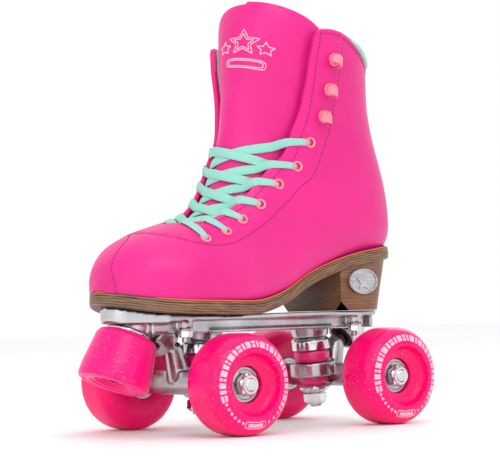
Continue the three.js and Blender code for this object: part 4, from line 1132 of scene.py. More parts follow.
def padded_tongue(sizes):
    """Tongue with foam between two skins: full in the middle, thin and rounded at its edges."""
    first, last = TONGUE["from"], TONGUE["to"]
    k_rows = last - (last - first) * np.linspace(1, 0, 150) ** 1.35
    across = np.sin(np.linspace(-math.pi / 2, math.pi / 2, 61))
    thick = sizes.tongue / MM
    outside = sizes.leather / MM + sizes.lining / MM + TONGUE_CLEAR
    sheets = []
    for sign in (-1, 1):
        rows = []
        for k in k_rows:
            end = min((last - k) / 0.9, (k - first) / 0.5, 1)
            edge = (1 - np.abs(across) ** 7) ** 0.5 * math.sqrt(max(1 - (1 - end) ** 2.4, 0))
            full = 0.16 + 0.84 * edge
            ease = 0.5 * step_between(17, 23.5, k)
            depth = outside + thick / 2 - ease + sign * full * thick / 2
            raised = 0.12 * np.maximum(across, 0) * ((k - first) / (last - first)) ** 8
            rows.append(boot_mm(k + raised, tongue_angles(np.full(61, k), across), depth))
        sheets.append(np.array(rows))
    rows, columns = len(k_rows), 61
    points = list(sheets[0].reshape(-1, 3)) + list(sheets[1].reshape(-1, 3))
    faces = slab_faces(rows, columns)
    return tidy_mesh(mesh_piece("tongue_pad", placed(points), faces), weld=1e-6, sharp_degrees=80)


def footbed():
    """Footbed cut to the inside of the boot, crowned, with a raised rim at the heel."""
    vertices = np.array([v.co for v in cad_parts["insole"].data.vertices])
    low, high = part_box("insole")
    xs = np.linspace(low.x + 0.0006, high.x - 0.0006, 90)
    half = []
    for x in xs:
        beside = vertices[np.abs(vertices[:, 0] - x) < 0.009]
        half.append(np.abs(beside[:, 1]).max() if len(beside) else 0.01)
    half = np.convolve(np.pad(half, 4, mode="edge"), np.ones(9) / 9, "valid") - 0.0008
    ends = np.minimum(xs - xs[0], xs[-1] - xs)
    round_off = np.sqrt(np.clip(ends / 0.03, 0, 1) * (2 - np.clip(ends / 0.03, 0, 1)))
    half = half * round_off + 0.0006
    across = np.linspace(-1, 1, 31)
    sheets = []
    for lift, crown in ((0.0061, 0.0009), (0.0031, 0.0)):
        rows = []
        for x, h in zip(xs, half):
            floor = BALL_Z + line_at(SOLE_EDGE, (x - MIDDLE_X) / MM) * MM
            rim = 0.0008 * np.abs(across) ** 4 if crown else 0
            top = floor + lift + crown * (1 - across ** 2) * 0.4 + rim
            rows.append(np.stack([np.full(31, x), across * h, top], -1))
        sheets.append(np.array(rows))
    points = list(sheets[0].reshape(-1, 3)) + list(sheets[1].reshape(-1, 3))
    count, columns = len(xs), 31
    faces = slab_faces(count, columns)
    return tidy_mesh(mesh_piece("footbed", points, faces), sharp_degrees=50)


def seam_line(places, count, lift=0.12):
    """Points and outward directions of a seam through places given as section and degrees."""
    route = smooth_curve(places, count)
    k, degrees = route[:, 0], route[:, 1]
    outs = boot_outward(k, degrees)
    relief = facing_relief(k, np.where(degrees < 0, degrees + 360, degrees))
    surface = boot_mm(k, degrees, 0)
    under = surface[:, 2] < line_at(COLLAR_EDGE, surface[:, 0]) - 3.0
    under &= surface[:, 2] > line_at(SOLE_EDGE, surface[:, 0]) + 0.8
    return (placed(surface) + outs * ((relief + lift) * MM)[:, None])[under], outs[under]


def boot_seams(sizes, thread):
    """Stitch rows: the facings' front edges and seams, the top edge at the back and the toe seam."""
    lines = []
    for far in (False, True):
        seam = np.array([[k, facing_seam_angle(k, far)] for k, degrees in FACING_SEAM])
        lines.append(seam_line(seam, 260, lift=0.1))
        sign = -1 if far else 1
        front = []
        for k in np.linspace(6.6, 23.2, 34):
            edge = throat_edges(k)[1 if far else 0]
            front.append([k, edge + sign * (3.6 / math.radians(1) / sections_at(k)[4])])
        lines.append(seam_line(np.array(front), 240))
    lines.append(seam_line(TOE_SEAM, 160))
    columns = WRAP_COLUMNS
    top = collar_sections(columns) - 3.2 / SECTION_RISE
    angles = shaft_angles(top)
    keep = slice(5, columns - 5)
    outs = boot_outward(top[keep], angles[keep])
    relief = facing_relief(top[keep], angles[keep])
    lines.append((boot_point(top[keep], angles[keep]) + outs * ((relief + 0.12) * MM)[:, None], outs))
    return laid_lines("seam_stitches", lines, thread, Pitch=sizes.stitch_pitch, Length=sizes.stitch,
                      Width=0.0009, Height=0.0006)


def tube(name, route, radius, closed=False, sides=8):
    """A round bead along a route of points."""
    route = np.asarray(route, float)
    count = len(route)
    points = []
    for i in range(count):
        ahead = route[(i + 1) % count] if closed or i < count - 1 else route[i]
        behind = route[i - 1] if closed or i else route[i]
        run = Vector(ahead - behind).normalized()
        across = run.cross(Vector((0, 0, 1)))
        across = (across if across.length > 1e-3 else run.orthogonal()).normalized()
        up = across.cross(run)
        for s in range(sides):
            a = 2 * math.pi * s / sides
            points.append(Vector(route[i]) + (across * math.cos(a) + up * math.sin(a)) * radius)
    faces = grid_faces(count, sides, closed=True)
    if closed:
        last = (count - 1) * sides
        faces += [(last + s, last + (s + 1) % sides, (s + 1) % sides, s) for s in range(sides)]
    else:
        faces += [tuple(range(sides)), tuple(range((count - 1) * sides, count * sides))]
    return tidy_mesh(mesh_piece(name, points, faces), sharp_degrees=50)


def rounded_box(count, power_u, power_v):
    """Outline of a box with round corners, from -1 to 1 each way: smaller powers are squarer."""
    turns = np.linspace(0, 2 * math.pi, count, endpoint=False)
    c, s = np.cos(turns), np.sin(turns)
    return list(zip(np.copysign(np.abs(c) ** power_u, c), np.copysign(np.abs(s) ** power_v, s)))


def star_outline(outer, inner, points=5, turn=90.0):
    """Corners of a plain star, tip up."""
    corners = []
    for i in range(2 * points):
        a = math.radians(turn + 180 * i / points)
        r = outer if i % 2 == 0 else inner
        corners.append((r * math.cos(a), r * math.sin(a)))
    return corners


def tongue_badge(sizes):
    """Three plain stars over a bar, as raised printed lines on the tongue."""
    outside = sizes.leather / MM + sizes.lining / MM + TONGUE_CLEAR

    def on_tongue(u, v):
        k = 20.9 + v / 14.5
        near, far = throat_edges(k)
        degrees = (near + far) / 2 + 1.5 + u * math.degrees(1) / sections_at(k)[4]
        ease = 0.5 * step_between(17, 23.5, k)
        return placed(boot_mm(k, degrees, outside - ease - 0.1))

    def outline(corners, u0, v0, scale=1.0):
        route = []
        for i, (u, v) in enumerate(corners):
            u1, v1 = corners[(i + 1) % len(corners)]
            route += [on_tongue(u0 + scale * (u + (u1 - u) * t), v0 + scale * (v + (v1 - v) * t))
                      for t in np.linspace(0, 0.875, 8)]
        return tube("outline", route, 0.0004, closed=True)

    parts = []
    star = star_outline(13.0, 6.0)
    for u0, v0, size in ((0, 8, 1.0), (0, 8, 0.66), (-16.5, 3, 0.5), (16.5, 3, 0.5)):
        parts.append(outline(star, u0, v0, size))
    for half_u, half_v in ((15.0, 4.6), (13.2, 3.0)):
        bar = [(u * half_u, v * half_v) for u, v in rounded_box(24, 0.35, 0.5)]
        parts.append(outline(bar, 2, -13))
    return joined("tongue_badge", parts)


# ---------------------------------------------------------------- laces, eyelets and hooks
EYELET_PINCH = 0.7  # share of its width that the lace keeps where it leaves an eyelet


def straight_leg(start, end, count):
    """Sections and degrees of a taut line over the boot between two places."""
    first, last = boot_mm(*start, 0), boot_mm(*end, 0)
    out = boot_outward((start[0] + end[0]) / 2, (start[1] + end[1]) / 2)
    across = np.cross(last - first, out)
    degrees = np.linspace(start[1], end[1], count)
    low = np.full(count, min(start[0], end[0]) - 3.0)
    high = np.full(count, max(start[0], end[0]) + 3.0)
    rising = np.sign((boot_mm(high[0], degrees[0], 0) - first) @ across)
    for _ in range(22):
        middle = (low + high) / 2
        over = rising * ((boot_mm(middle, degrees, 0) - first) @ across) > 0
        high, low = np.where(over, middle, high), np.where(over, low, middle)
    return np.column_stack([low, degrees])


def lace_strand(index, far):
    """One strand: out of an eyelet, over its facing's edge and taut across, under the other facing."""
    start = facing_place(EYELETS[index], far)
    if far:
        edge_k, tuck_k = LACE_FAR[index]
        edge = (edge_k, throat_edges(edge_k)[1])
        end = (tuck_k, throat_edges(tuck_k)[0] + 7)
        places = np.vstack([straight_leg(start, edge, 8)[:-1], straight_leg(edge, end, 18)])
    else:
        tuck_k = LACE_NEAR[index]
        places = straight_leg(start, (tuck_k, throat_edges(tuck_k)[1] - 7), 26)
    k, degrees = places.T
    near_edge, far_edge = throat_edges(k)
    past = (degrees - far_edge) if far else (near_edge - degrees)
    left = (near_edge - degrees) if far else (degrees - far_edge)
    # Millimetres under the boot's surface: over the facing, then down to the tongue, on which the
    # strands from the far side lie a little higher.
    down = step_between(-1.0, 9.0, past)
    floor = 5.15 - (1.15 * step_between(-1, 14, left) if far else 0)
    depth = -1.45 * (1 - down) + floor * down
    tail = np.array([[k[0], degrees[0], 2.4], [k[0], degrees[0], 0.2]])
    return np.vstack([tail, np.column_stack([k, degrees, depth])[1:]])


def ribbon(name, route, sizes):
    """A flat lace along a route of section, degrees and depth, with rounded edges and a woven UV."""
    steps = 56
    fine = smooth_curve(route, steps)
    centres = boot_point(fine[:, 0], fine[:, 1], fine[:, 2])
    outs = boot_outward(fine[:, 0], fine[:, 1])
    runs = np.gradient(centres, axis=0)
    runs /= np.linalg.norm(runs, axis=1, keepdims=True)
    across = np.cross(runs, outs)
    across /= np.linalg.norm(across, axis=1, keepdims=True)
    tops = np.cross(across, runs)
    walked = np.concatenate([[0], np.cumsum(np.linalg.norm(np.diff(centres, axis=0), axis=1))])
    section = rounded_box(16, 0.45, 0.7)
    points, uvs = [], []
    share = np.linspace(0, 1, steps)
    narrow = EYELET_PINCH + (1 - EYELET_PINCH) * step_between(0.05, 0.26, share)
    for i in range(steps):
        for u, v in section:
            bow = 0.00025 * (1 - u * u)
            sideways = across[i] * u * sizes.width / 2 * narrow[i]
            points.append(centres[i] + sideways + tops[i] * (v * sizes.thick / 2 + bow))
            uvs.append((walked[i] / sizes.width, (u + 1) / 2))
    sides = len(section)
    faces = grid_faces(steps, sides, closed=True)
    faces += [tuple(range(sides)), tuple(range((steps - 1) * sides, steps * sides))]
    return tidy_mesh(mesh_piece(name, points, faces, uvs), sharp_degrees=70)


def laces(sizes):
    """Thirteen crossing strands; the ones from the far side lie on top."""
    strands = []
    for index in range(len(EYELETS)):
        for far in (False, True):
            if index or not far:
                strands.append(ribbon("strand", lace_strand(index, far), sizes))
    return joined("laces", strands)


def eyelet_points():
    places = [facing_place(e, far) for far in (False, True) for e in EYELETS]
    k, degrees = np.array(places).T
    outs = boot_outward(k, degrees)
    return boot_point(k, degrees, -0.55) + outs * 0.0002, outs


def eyelet_hollows(sizes):
    """Painted shade: dark funnels inside the eyelets' rings, standing in for the shadow down their holes.
    """
    points, outs = eyelet_points()
    parts = []
    for point, out in zip(points, outs):
        profile = [(0, -0.0004), (sizes.eyelet - 0.0006, 0.0001), (sizes.eyelet - 0.0003, -0.0006),
                   (0, -0.0012)]
        parts.append(spun("funnel", profile, point, out, sides=20))
    return joined("eyelet_hollows", parts)


def speed_hook():
    """A pressed hook: a riveted foot, and a faceted hood that is open towards the toe."""
    foot = spun("foot", rounded([(0, -0.0012), (0.0041, -0.0012), (0.0044, 0.0), (0.0026, 0.0009),
                                 (0, 0.0009)], 0.0004),
                (0, 0, 0), (0, 0, 1), sides=32)
    points = []
    rows, columns = 15, 25
    facet = math.pi / 4
    for skin in (1.0, 0.74):
        for r in range(rows):
            t = 1 - (1 - r / (rows - 1)) ** 1.7
            swell = math.sqrt(max(1 - max(0.0, (t - 0.3) / 0.7) ** 3.2, 0)) * (1.1 - 0.22 * t)
            along = -0.0042 + 0.0084 * t * (skin if t > 0.5 else 1)
            for c in range(columns):
                a = math.pi * c / (columns - 1)
                fold = (a + facet / 2) % facet - facet / 2
                reach = 0.0043 * skin * swell * (0.45 + 0.55 * math.cos(facet / 2) / math.cos(fold))
                height = 0.0008 + reach * math.sin(a) * 1.35 + 0.0014 * (1 - t) ** 2
                points.append((along, reach * math.cos(a), height))
    faces = slab_faces(rows, columns)
    hood = tidy_mesh(mesh_piece("hood", points, faces), sharp_degrees=20)
    return joined("speed_hook", [foot, hood])


def all_hooks(material):
    """The six hooks, three up each facing, with their hoods closed towards the collar."""
    places = [facing_place(h, far) for far in (False, True) for h in HOOKS]
    k, degrees = np.array(places).T
    outs = boot_outward(k, degrees)
    ups = boot_mm(k + 0.3, degrees, 0) - boot_mm(k - 0.3, degrees, 0)
    rears = np.cross(ups, outs) * np.sign(degrees)[:, None]
    ups = ups + 0.55 * rears  # so that the hoods open forwards as well as down
    template = speed_hook()
    carrier = marked_points("speed_hooks", boot_point(k, degrees) + outs * 0.0018, outs, ups)
    made = run_tree(carrier, copies_tree(material), {"Copied": template})
    old = template.data
    bpy.data.objects.remove(template)
    bpy.data.meshes.remove(old)
    return made


# ---------------------------------------------------------------- sole and heel
def sole_half(grow, count):
    """Half outline of the sole in millimetres, from toe to heel, grown or shrunk."""
    half = smooth_curve(SOLE_PLAN, count)
    grown = half + np.stack([grow * (half[:, 0] - 8) / 110, np.full(count, grow)], -1)
    grown[0], grown[-1] = (half[0, 0] + grow, 0), (half[-1, 0] - grow, 0)
    return grown


def laminated_outsole(sizes):
    """The sole, with a trimmed edge that has a shallow groove under its welt and eased corners."""
    half = sole_half(0, 200)
    thick = sizes.thick / MM
    edge = [(0.0, -0.5), (-0.12, 0.0), (-0.45, 0.3), (-1.2, 0.34), (-1.7, -0.1), (-2.2, 0.32), (-4.0, 0.4),
            (-6.2, 0.3),
            (-thick + 0.6, 0.05), (-thick + 0.15, -0.35), (-thick, -0.9)]
    levels = np.interp(np.linspace(0, len(edge) - 1, 26), range(len(edge)), [e[0] for e in edge])
    outs = np.interp(np.linspace(0, len(edge) - 1, 26), range(len(edge)), [e[1] for e in edge])
    inner = np.linspace(1, -1, 13)
    walk = np.concatenate([[0], np.cumsum(np.linalg.norm(np.diff(half, axis=0), axis=1))])
    normals = np.gradient(half, axis=0)
    normals = np.stack([-normals[:, 1], normals[:, 0]], -1)
    normals /= np.maximum(np.linalg.norm(normals, axis=1, keepdims=True), 1e-9)
    normals *= np.where(normals[:, 1:2] < 0, -1, 1)
    normals[0], normals[-1] = (1, 0), (-1, 0)
    points, uvs = [], []
    for i, (x, y) in enumerate(half):
        rim = [(x + normals[i, 0] * out, max(y + normals[i, 1] * out, 0.0), level)
               for out, level in zip(outs, levels)]
        loop = [(rim[0][0], rim[0][1] * t, 0.0) for t in inner[::-1]]
        loop += rim[1:]
        loop += [(rim[-1][0], rim[-1][1] * t, -thick) for t in inner[1:]]
        loop += [(px, -py, level) for px, py, level in rim[::-1][1:-1]]
        for px, py, level in loop:
            z = line_at(SOLE_EDGE, px) + level
            points.append((px, py, z))
            uvs.append((walk[i] / 100, -level / thick))
    columns = len(loop)
    faces = grid_faces(len(half), columns, closed=True)
    return tidy_mesh(mesh_piece("sole", placed(points), faces, uvs), weld=5e-6, sharp_degrees=50)


def welt_bead():
    """The waxed thread line that shows between the upper and the sole."""
    half = sole_half(-1.0, 150)
    ring = np.vstack([half, (half * np.array([1, -1]))[::-1][1:-1]])
    heights = line_at(SOLE_EDGE, ring[:, 0]) + 0.35
    return tube("welt", placed(np.column_stack([ring, heights])), 0.00055, closed=True)


def heel_stack(sizes):
    """Heel block: follows the sole above, leans in at the back and has two cut corners in front."""
    breast = sizes.heel_breast / MM
    half = sole_half(-sizes.heel_inset / MM, 260)
    rear_x = SOLE_PLAN[-1, 0]
    side = half[half[:, 0] <= breast]
    start = np.array([[breast, np.interp(breast, half[::-1, 0], half[::-1, 1])]])
    side = np.vstack([start, side])
    ring = np.vstack([side, (side * np.array([1, -1]))[::-1][1:]])
    bottom = (HEEL_BOTTOM_Z - BALL_Z) / MM
    top = SOLE_LINE[-1, 1]
    rows = 40
    points = []
    for v in np.linspace(0, 1, rows):
        for x, y in ring:
            under = line_at(SOLE_EDGE, x) - sizes.thick / MM - GAP / MM
            z = bottom + (under - bottom) * v
            back = (breast - x) / (breast - rear_x)
            lean = sizes.heel_lean / MM * back * (1 - (z - bottom) / (top - bottom))
            points.append((x + lean, y, z))
    columns = len(ring)
    faces = grid_faces(rows, columns)
    across = 12
    breast_rows = []
    for r in range(rows):
        a, b = np.array(points[r * columns]), np.array(points[r * columns + columns - 1])
        row = [r * columns]
        for t in np.linspace(0, 1, across + 1)[1:-1]:
            row.append(len(points))
            points.append(tuple(a + (b - a) * t))
        row.append(r * columns + columns - 1)
        breast_rows.append(row)
    for r in range(rows - 1):
        for c in range(across):
            low_row, high_row = breast_rows[r], breast_rows[r + 1]
            faces.append((low_row[c + 1], low_row[c], high_row[c], high_row[c + 1]))
    for r in (0, rows - 1):
        near = list(range(r * columns, r * columns + columns // 2 + 1))
        far = list(range(r * columns + columns - 1, r * columns + columns // 2 - 1, -1))
        for i in range(min(len(near), len(far)) - 1):
            if near[i + 1] != far[i + 1]:
                faces.append((near[i], near[i + 1], far[i + 1], far[i]))
            else:
                faces.append((near[i], near[i + 1], far[i]))
    piece = tidy_mesh(mesh_piece("heel", placed(points), faces))
    work = bmesh.new()
    work.from_mesh(piece.data)
    corner = sizes.corner
    half_width = start[0, 1] * MM
    for s in (1, -1):
        at = Vector((MIDDLE_X + sizes.heel_breast, s * (half_width - corner), HEEL_BOTTOM_Z))
        out = Vector((1, s, -1)).normalized()
        geometry = work.verts[:] + work.edges[:] + work.faces[:]
        cut = bmesh.ops.bisect_plane(work, geom=geometry, plane_co=at, plane_no=out, clear_outer=True)
        edges = [e for e in cut["geom_cut"] if isinstance(e, bmesh.types.BMEdge)]
        bmesh.ops.holes_fill(work, edges=edges, sides=0)
    bmesh.ops.recalc_face_normals(work, faces=work.faces)
    work.to_mesh(piece.data)
    work.free()
    return tidy_mesh(piece, sharp_degrees=35)


def paint_faces(piece, material, chosen):
    """Gives the faces that a test picks a second material."""
    piece.data.materials.append(material)
    place = len(piece.data.materials) - 1
    for polygon in piece.data.polygons:
        if chosen(polygon):
            polygon.material_index = place
    return piece


def heel_plaque():
    """A flat oval plaque with a raised rim, a plain star and two pin heads."""
    low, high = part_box("heel_badge")
    centre = (low + high) / 2
    half_x, half_z = (high.x - low.x) / 2, (high.z - low.z) / 2
    face, back = high.y, low.y
    points, faces = [], []
    steps = 96
    rings = [(1.0, back), (1.0, face - 0.0005), (0.97, face - 0.0001), (0.93, face), (0.88, face - 0.0002),
             (0.85, face - 0.0009), (0.5, face - 0.0009), (0.02, face - 0.0009)]
    for share, y in rings:
        for s in range(steps):
            a = 2 * math.pi * s / steps
            inset = (1 - share) * half_z
            across, along = (half_x - inset) * math.cos(a), (half_z - inset) * math.sin(a)
            points.append((centre.x + across, y, centre.z + along))
    faces += grid_faces(len(rings), steps, closed=True)
    faces += [tuple(range(steps)), tuple(range((len(rings) - 1) * steps, len(rings) * steps))]
    plate = tidy_mesh(mesh_piece("plaque", points, faces), sharp_degrees=35)
    star, tips = [], []
    corners = star_outline(0.0064, 0.0029)
    for depth in (face - 0.0011, face - 0.0002):
        for u, v in corners:
            star.append((centre.x + u, depth, centre.z + v))
    star.append((centre.x, face + 0.0005, centre.z))
    count = len(corners)
    tips = [(i, (i + 1) % count, count + (i + 1) % count, count + i) for i in range(count)]
    tips += [(count + i, count + (i + 1) % count, 2 * count) for i in range(count)]
    tips.append(tuple(range(count)))
    raised = tidy_mesh(mesh_piece("star", star, tips), sharp_degrees=10)
    parts = [plate, raised]
    for s in (-1, 1):
        head = rounded([(0, -0.001), (0.0011, -0.001), (0.0011, 0.0002), (0, 0.0006)], 0.0003)
        parts.append(spun("pin", head, (centre.x + s * half_x * 0.72, face - 0.0006, centre.z), (0, 1, 0),
                          sides=20))
    return joined("heel_plaque", parts)


# ---------------------------------------------------------------- trucks, wheels and toe stop
def lathed(name, corners, origin, axis, rounding=0.3, sides=72, sharp_degrees=40):
    """A turned piece from (radius, height) corners in millimetres, each slightly rounded."""
    profile = rounded([tuple(v * MM for v in corner) for corner in corners], rounding * MM)
    return spun(name, profile, origin, axis, sides=sides, sharp_degrees=sharp_degrees)


def end_sign(end):
    return 1 if end == "front" else -1


def kingpin_frame(sizes, end):
    """Ring centre and upward direction of one truck's kingpin."""
    sign = end_sign(end)
    up = Vector((-sign * math.sin(sizes.tilt), 0, math.cos(sizes.tilt)))
    origin = Vector((AXLES[end].x - sign * sizes.inboard, 0, AXLE_Z + sizes.ring_up))
    return origin, up


def threaded(name, radius, low, high, origin, axis, pitch=1.25, bevel=0.6, smooth_from=None):
    """A rod whose lower end is threaded up to smooth_from; sizes in millimetres."""
    stop = high if smooth_from is None else smooth_from
    profile = thread_profile(radius, low, stop, pitch, bevel)[:-1]
    profile += [(radius, high - bevel), (radius - bevel, high), (0, high)]
    return spun(name, [(r * MM, h * MM) for r, h in profile], origin, axis, sides=40, sharp_degrees=25)


def truck_washers(sizes, end):
    """Cupped washer over the upper cushion and dished washer under the lower one."""
    origin, up = kingpin_frame(sizes, end)
    bore = sizes.kingpin / MM + 0.3
    cup = lathed("cup", [(bore, 15.1), (bore, 21.1), (10.6, 21.1, 0.8), (12.8, 19.3, 0.9), (13, 13.1),
                         (12.3, 13.1), (12.2, 15.1)], origin, up, 0.25)
    dish = lathed("dish", [(bore, -15.2), (7.6, -15.2, 0.8), (10.5, -13.2, 0.8), (10.5, -11.6),
                           (9.7, -11.6), (bore, -12.4)],
                  origin, up, 0.25)
    return joined("washers_" + end, [cup, dish])


def truck_cushions(sizes, end):
    """Barrel cushion above the hanger's ring and tapered cushion below it."""
    origin, up = kingpin_frame(sizes, end)
    bore = sizes.kingpin / MM + 0.3
    upper = lathed("upper", [(bore, 4.8), (10.7, 4.8, 0.8), (12, 7.4, 1.8), (12, 10.6, 1.8),
                             (11.0, 12.8, 0.8), (bore, 12.8)],
                   origin, up, 0.3)
    lower = lathed("lower", [(bore, -11.3), (7.4, -11.3, 0.8), (8.9, -8.2, 2.0), (9.3, -4.8, 0.7),
                             (bore, -4.8)],
                   origin, up, 0.3)
    return joined("cushions_" + end, [upper, lower])


def kingpin(sizes, end):
    """Kingpin with its head in the plate, and the lock nut on its threaded end."""
    origin, up = kingpin_frame(sizes, end)
    rod = threaded("rod", sizes.kingpin / MM, -25.0, 33.4, origin, up, smooth_from=-12.0)
    head = lathed("head", [(0, 30.0), (6.6, 30.0), (6.6, 34.4), (0, 34.4)], origin, up, 0.4)
    nut = prism("nut", 6, 0.00775, -0.0225, -0.0155, origin, up, 0.0009, bore=0.0041)
    collar = lathed("collar", [(4.2, -23.3), (5.9, -23.3, 0.6), (5.9, -22.2), (4.2, -22.2)], origin, up,
                    0.2)
    return joined("kingpin_" + end, [rod, head]), joined("kingpin_nut_" + end, [nut, collar])


def axle_with_nuts(end):
    """Axle threaded at both ends, and its two lock nuts."""
    centre = Vector((AXLES[end].x, 0, AXLE_Z))
    low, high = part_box("axle_" + end)
    half = (high.y - low.y) / 2 / MM
    rods = [threaded("half", 4.0, -half, 0.0, centre, (0, s, 0), smooth_from=-half + 9.0) for s in (1, -1)]
    nuts = []
    for side, s in (("left", 1), ("right", -1)):
        low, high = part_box(f"axle_nut_{end}_{side}")
        inner, outer = sorted((abs(low.y), abs(high.y)))
        flats = (high.z - low.z) / 2
        radius = max(flats, (high.x - low.x) / 2)
        nuts.append(prism("nut", 6, radius, inner, outer - 0.0009, centre, (0, s, 0), 0.0008, bore=0.0041))
        crown = [(4.1, (outer - 0.001) / MM), (5.9, (outer - 0.001) / MM), (5.7, outer / MM, 0.5),
                 (4.1, outer / MM)]
        nuts.append(lathed("crown", crown, centre, (0, s, 0), 0.15, sides=48))
    return joined("axle_" + end, rods), joined("axle_nuts_" + end, nuts)


def mounting_bolts():
    """The four bolts through the plate, each with its nut and a thin washer."""
    bolts = []
    for end in ("front", "rear"):
        for side in ("left", "right"):
            low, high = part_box(f"mounting_bolt_{end}_{side}")
            centre = Vector(((low.x + high.x) / 2, (low.y + high.y) / 2, low.z))
            tall = (high.z - low.z) / MM
            bolts.append(threaded("bolt", 2.5, 0.0, tall, centre, (0, 0, 1), pitch=0.9, bevel=0.4,
                                  smooth_from=9.0))
            bolts.append(prism("nut", 6, 0.0044, 0.003, 0.0074, centre, (0, 0, 1), 0.0005, bore=0.0026))
            bolts.append(lathed("washer", [(2.6, 7.4), (5.0, 7.4), (5.0, 7.95), (2.6, 7.95)], centre,
                                (0, 0, 1), 0.15, 40))
    return joined("mounting_bolts", bolts)


BLOCK_WIDTHS = (9.0, 5.0, 7.5, 4.0, 8.0, 6.0, 3.5)  # degrees round the wheel


def wheel_centre(place):
    low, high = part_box("wheel_" + place)
    side = 1 if place.endswith("left") else -1
    return Vector((AXLES[place.split("_")[0]].x, (low.y + high.y) / 2, AXLE_Z)), side


def wheel_body(sizes, place):
    """Cast wheel: round shoulders, a lip, a deep hollow face outboard and a flat one inboard."""
    centre, side = wheel_centre(place)
    r, half = sizes.radius / MM, sizes.width / 2 / MM
    shoulder, lip = sizes.shoulder / MM, sizes.lip / MM
    seat = sizes.bearing / MM + 0.3
    floor = half - sizes.dish / MM
    profile = [(seat - 3.3, -7.7), (seat - 3.3, -0.8), (seat, -0.8), (seat, floor + 0.2)]
    profile += [(seat + 0.5, floor + 0.5), (seat + 1.6, floor + 0.7), (seat + 3.0, floor + 1.2)]
    for a in np.linspace(0, 90, 9):
        reach = lip - seat - 3.4
        rise = half - 0.25 - floor - 1.4
        profile.append((seat + 3.4 + reach * math.sin(math.radians(a)) ** 1.2,
                        floor + 1.4 + rise * (1 - math.cos(math.radians(a)) ** 0.9)))
    profile += [(lip + 0.35, half - 0.05), (lip + 0.8, half)]
    for a in np.linspace(84, 0, 18):
        profile.append((r - shoulder + shoulder * math.cos(math.radians(a)),
                        half - shoulder + shoulder * math.sin(math.radians(a))))
    for a in np.linspace(0, -84, 18):
        profile.append((r - shoulder + shoulder * math.cos(math.radians(a)),
                        shoulder - half + shoulder * math.sin(math.radians(a))))
    profile += [(lip, -half), (lip - 1.2, -half + 0.1), (seat + 1.0, -half + 1.5), (seat, -half + 1.9),
                (seat, -7.7)]
    made = [(a * MM, b * MM) for a, b in profile]
    return spun("wheel_body_" + place, made, centre, (0, side, 0), sides=sizes.sides, sharp_degrees=38)


def printed_patch(place_on, low, high, start, stop, rows=5):
    """A thin patch of ink on a turned surface, between two angles across it and two round it."""
    columns = max(3, int(abs(stop - start) / 1.6) + 2)  # one about every 1.6 degrees
    points = []
    for lift in (0.00009, -0.0001):
        for a in np.linspace(low, high, rows):
            for t in np.linspace(start, stop, columns):
                point, out = place_on(a, t)
                points.append(point + out * lift)
    faces = slab_faces(rows, columns)
    return tidy_mesh(mesh_piece("patch", points, faces), sharp_degrees=50)


def wheel_print(sizes, place, ink):
    """Printed ring of plain blocks and dots round the wheel's outboard shoulder, and a plain tag."""
    centre, side = wheel_centre(place)
    r, half, shoulder = sizes.radius, sizes.width / 2, sizes.shoulder

    def on_shoulder(degrees, turn):
        a, t = math.radians(degrees), math.radians(turn)
        ray = Vector((math.cos(t), 0, math.sin(t)))
        out = ray * math.cos(a) + Vector((0, side * math.sin(a), 0))
        middle = centre + ray * (r - shoulder) + Vector((0, side * (half - shoulder), 0))
        return middle + out * shoulder, out

    parts = []
    turn = -22.0
    for i, wide in enumerate(BLOCK_WIDTHS * 5):
        if turn + wide > 222:
            break
        low, high = (57, 79) if i % 3 else (57, 66)
        parts.append(printed_patch(on_shoulder, low, high, turn, turn + wide))
        if not i % 3:
            parts.append(printed_patch(on_shoulder, 69.5, 79, turn, turn + wide))
        turn += wide + 2.6
    for start, stop in ((226, 246), (294, 334)):
        line = [on_shoulder(68.0, t) for t in np.linspace(start, stop, 40)]
        parts.append(laid_lines("dots", [([p for p, o in line], [o for p, o in line])], ink,
                                Pitch=0.0034, Length=0.002, Width=0.002, Height=0.0002))
    parts.append(printed_patch(on_shoulder, 62, 74, 258, 284))
    tag = [on_shoulder(68 + v * 11.5, 271 + u * 18)[0] for u, v in rounded_box(48, 0.35, 0.4)]
    parts.append(tube("tag", tag, 0.0003, closed=True, sides=6))
    return joined("wheel_print_" + place, parts)


def bearings(sizes, place):
    """Both bearings of a wheel: two races and a recessed shield on each side."""
    centre, side = wheel_centre(place)
    outer = sizes.bearing / MM
    made = []
    for low in (-0.5, -15.0):
        high = low + 7
        corners = [(4.35, low), (5.9, low), (6.0, low + 0.6), (9.0, low + 0.6), (9.15, low),
                   (outer, low, 0.5),
                   (outer, high, 0.5), (9.15, high), (9.0, high - 0.6), (8.6, high - 0.75), (6.3, high
                                                                                             - 0.75),
                   (6.0, high - 0.6), (5.9, high), (4.35, high)]
        made.append(lathed("bearing", corners, centre, (0, side, 0), 0.12, sides=64, sharp_degrees=30))
    return joined("bearings_" + place, made)


def stop_frame(sizes):
    foot = Vector((MIDDLE_X + sizes.foot_x, 0, PLATE_TOP_Z - sizes.below))
    return foot, Vector((-math.sin(sizes.tilt), 0, math.cos(sizes.tilt)))


def stop_pad(sizes):
    """Moulded stop: a rolled foot with a concentric groove, a barrelled side and a rounded top."""
    foot, up = stop_frame(sizes)
    r, top, h = sizes.radius / MM, sizes.top / MM, sizes.height / MM
    bore = sizes.stem / MM + 0.3
    corners = [(bore, 3.0), (10.4, 3.0, 0.5), (12.0, 1.2, 0.8), (14.2, 1.0, 0.5), (14.9, 0.3, 0.5),
               (17.6, 0.2, 0.6),
               (18.4, 0.9, 0.5), (19.2, 0.1, 0.6), (r - 0.9, 0.3, 1.4), (r, 2.6, 1.6), (r - 0.25, 9,
                                                                                        4), (top + 0.35, h
                                                                                             - 7, 4),
               (top, h - 3.6, 2), (top - 1.3, h - 0.9, 1.4), (top - 4, h, 1.2), (bore, h)]
    return lathed("stop_pad", corners, foot, up, 0.4, sides=112, sharp_degrees=50)


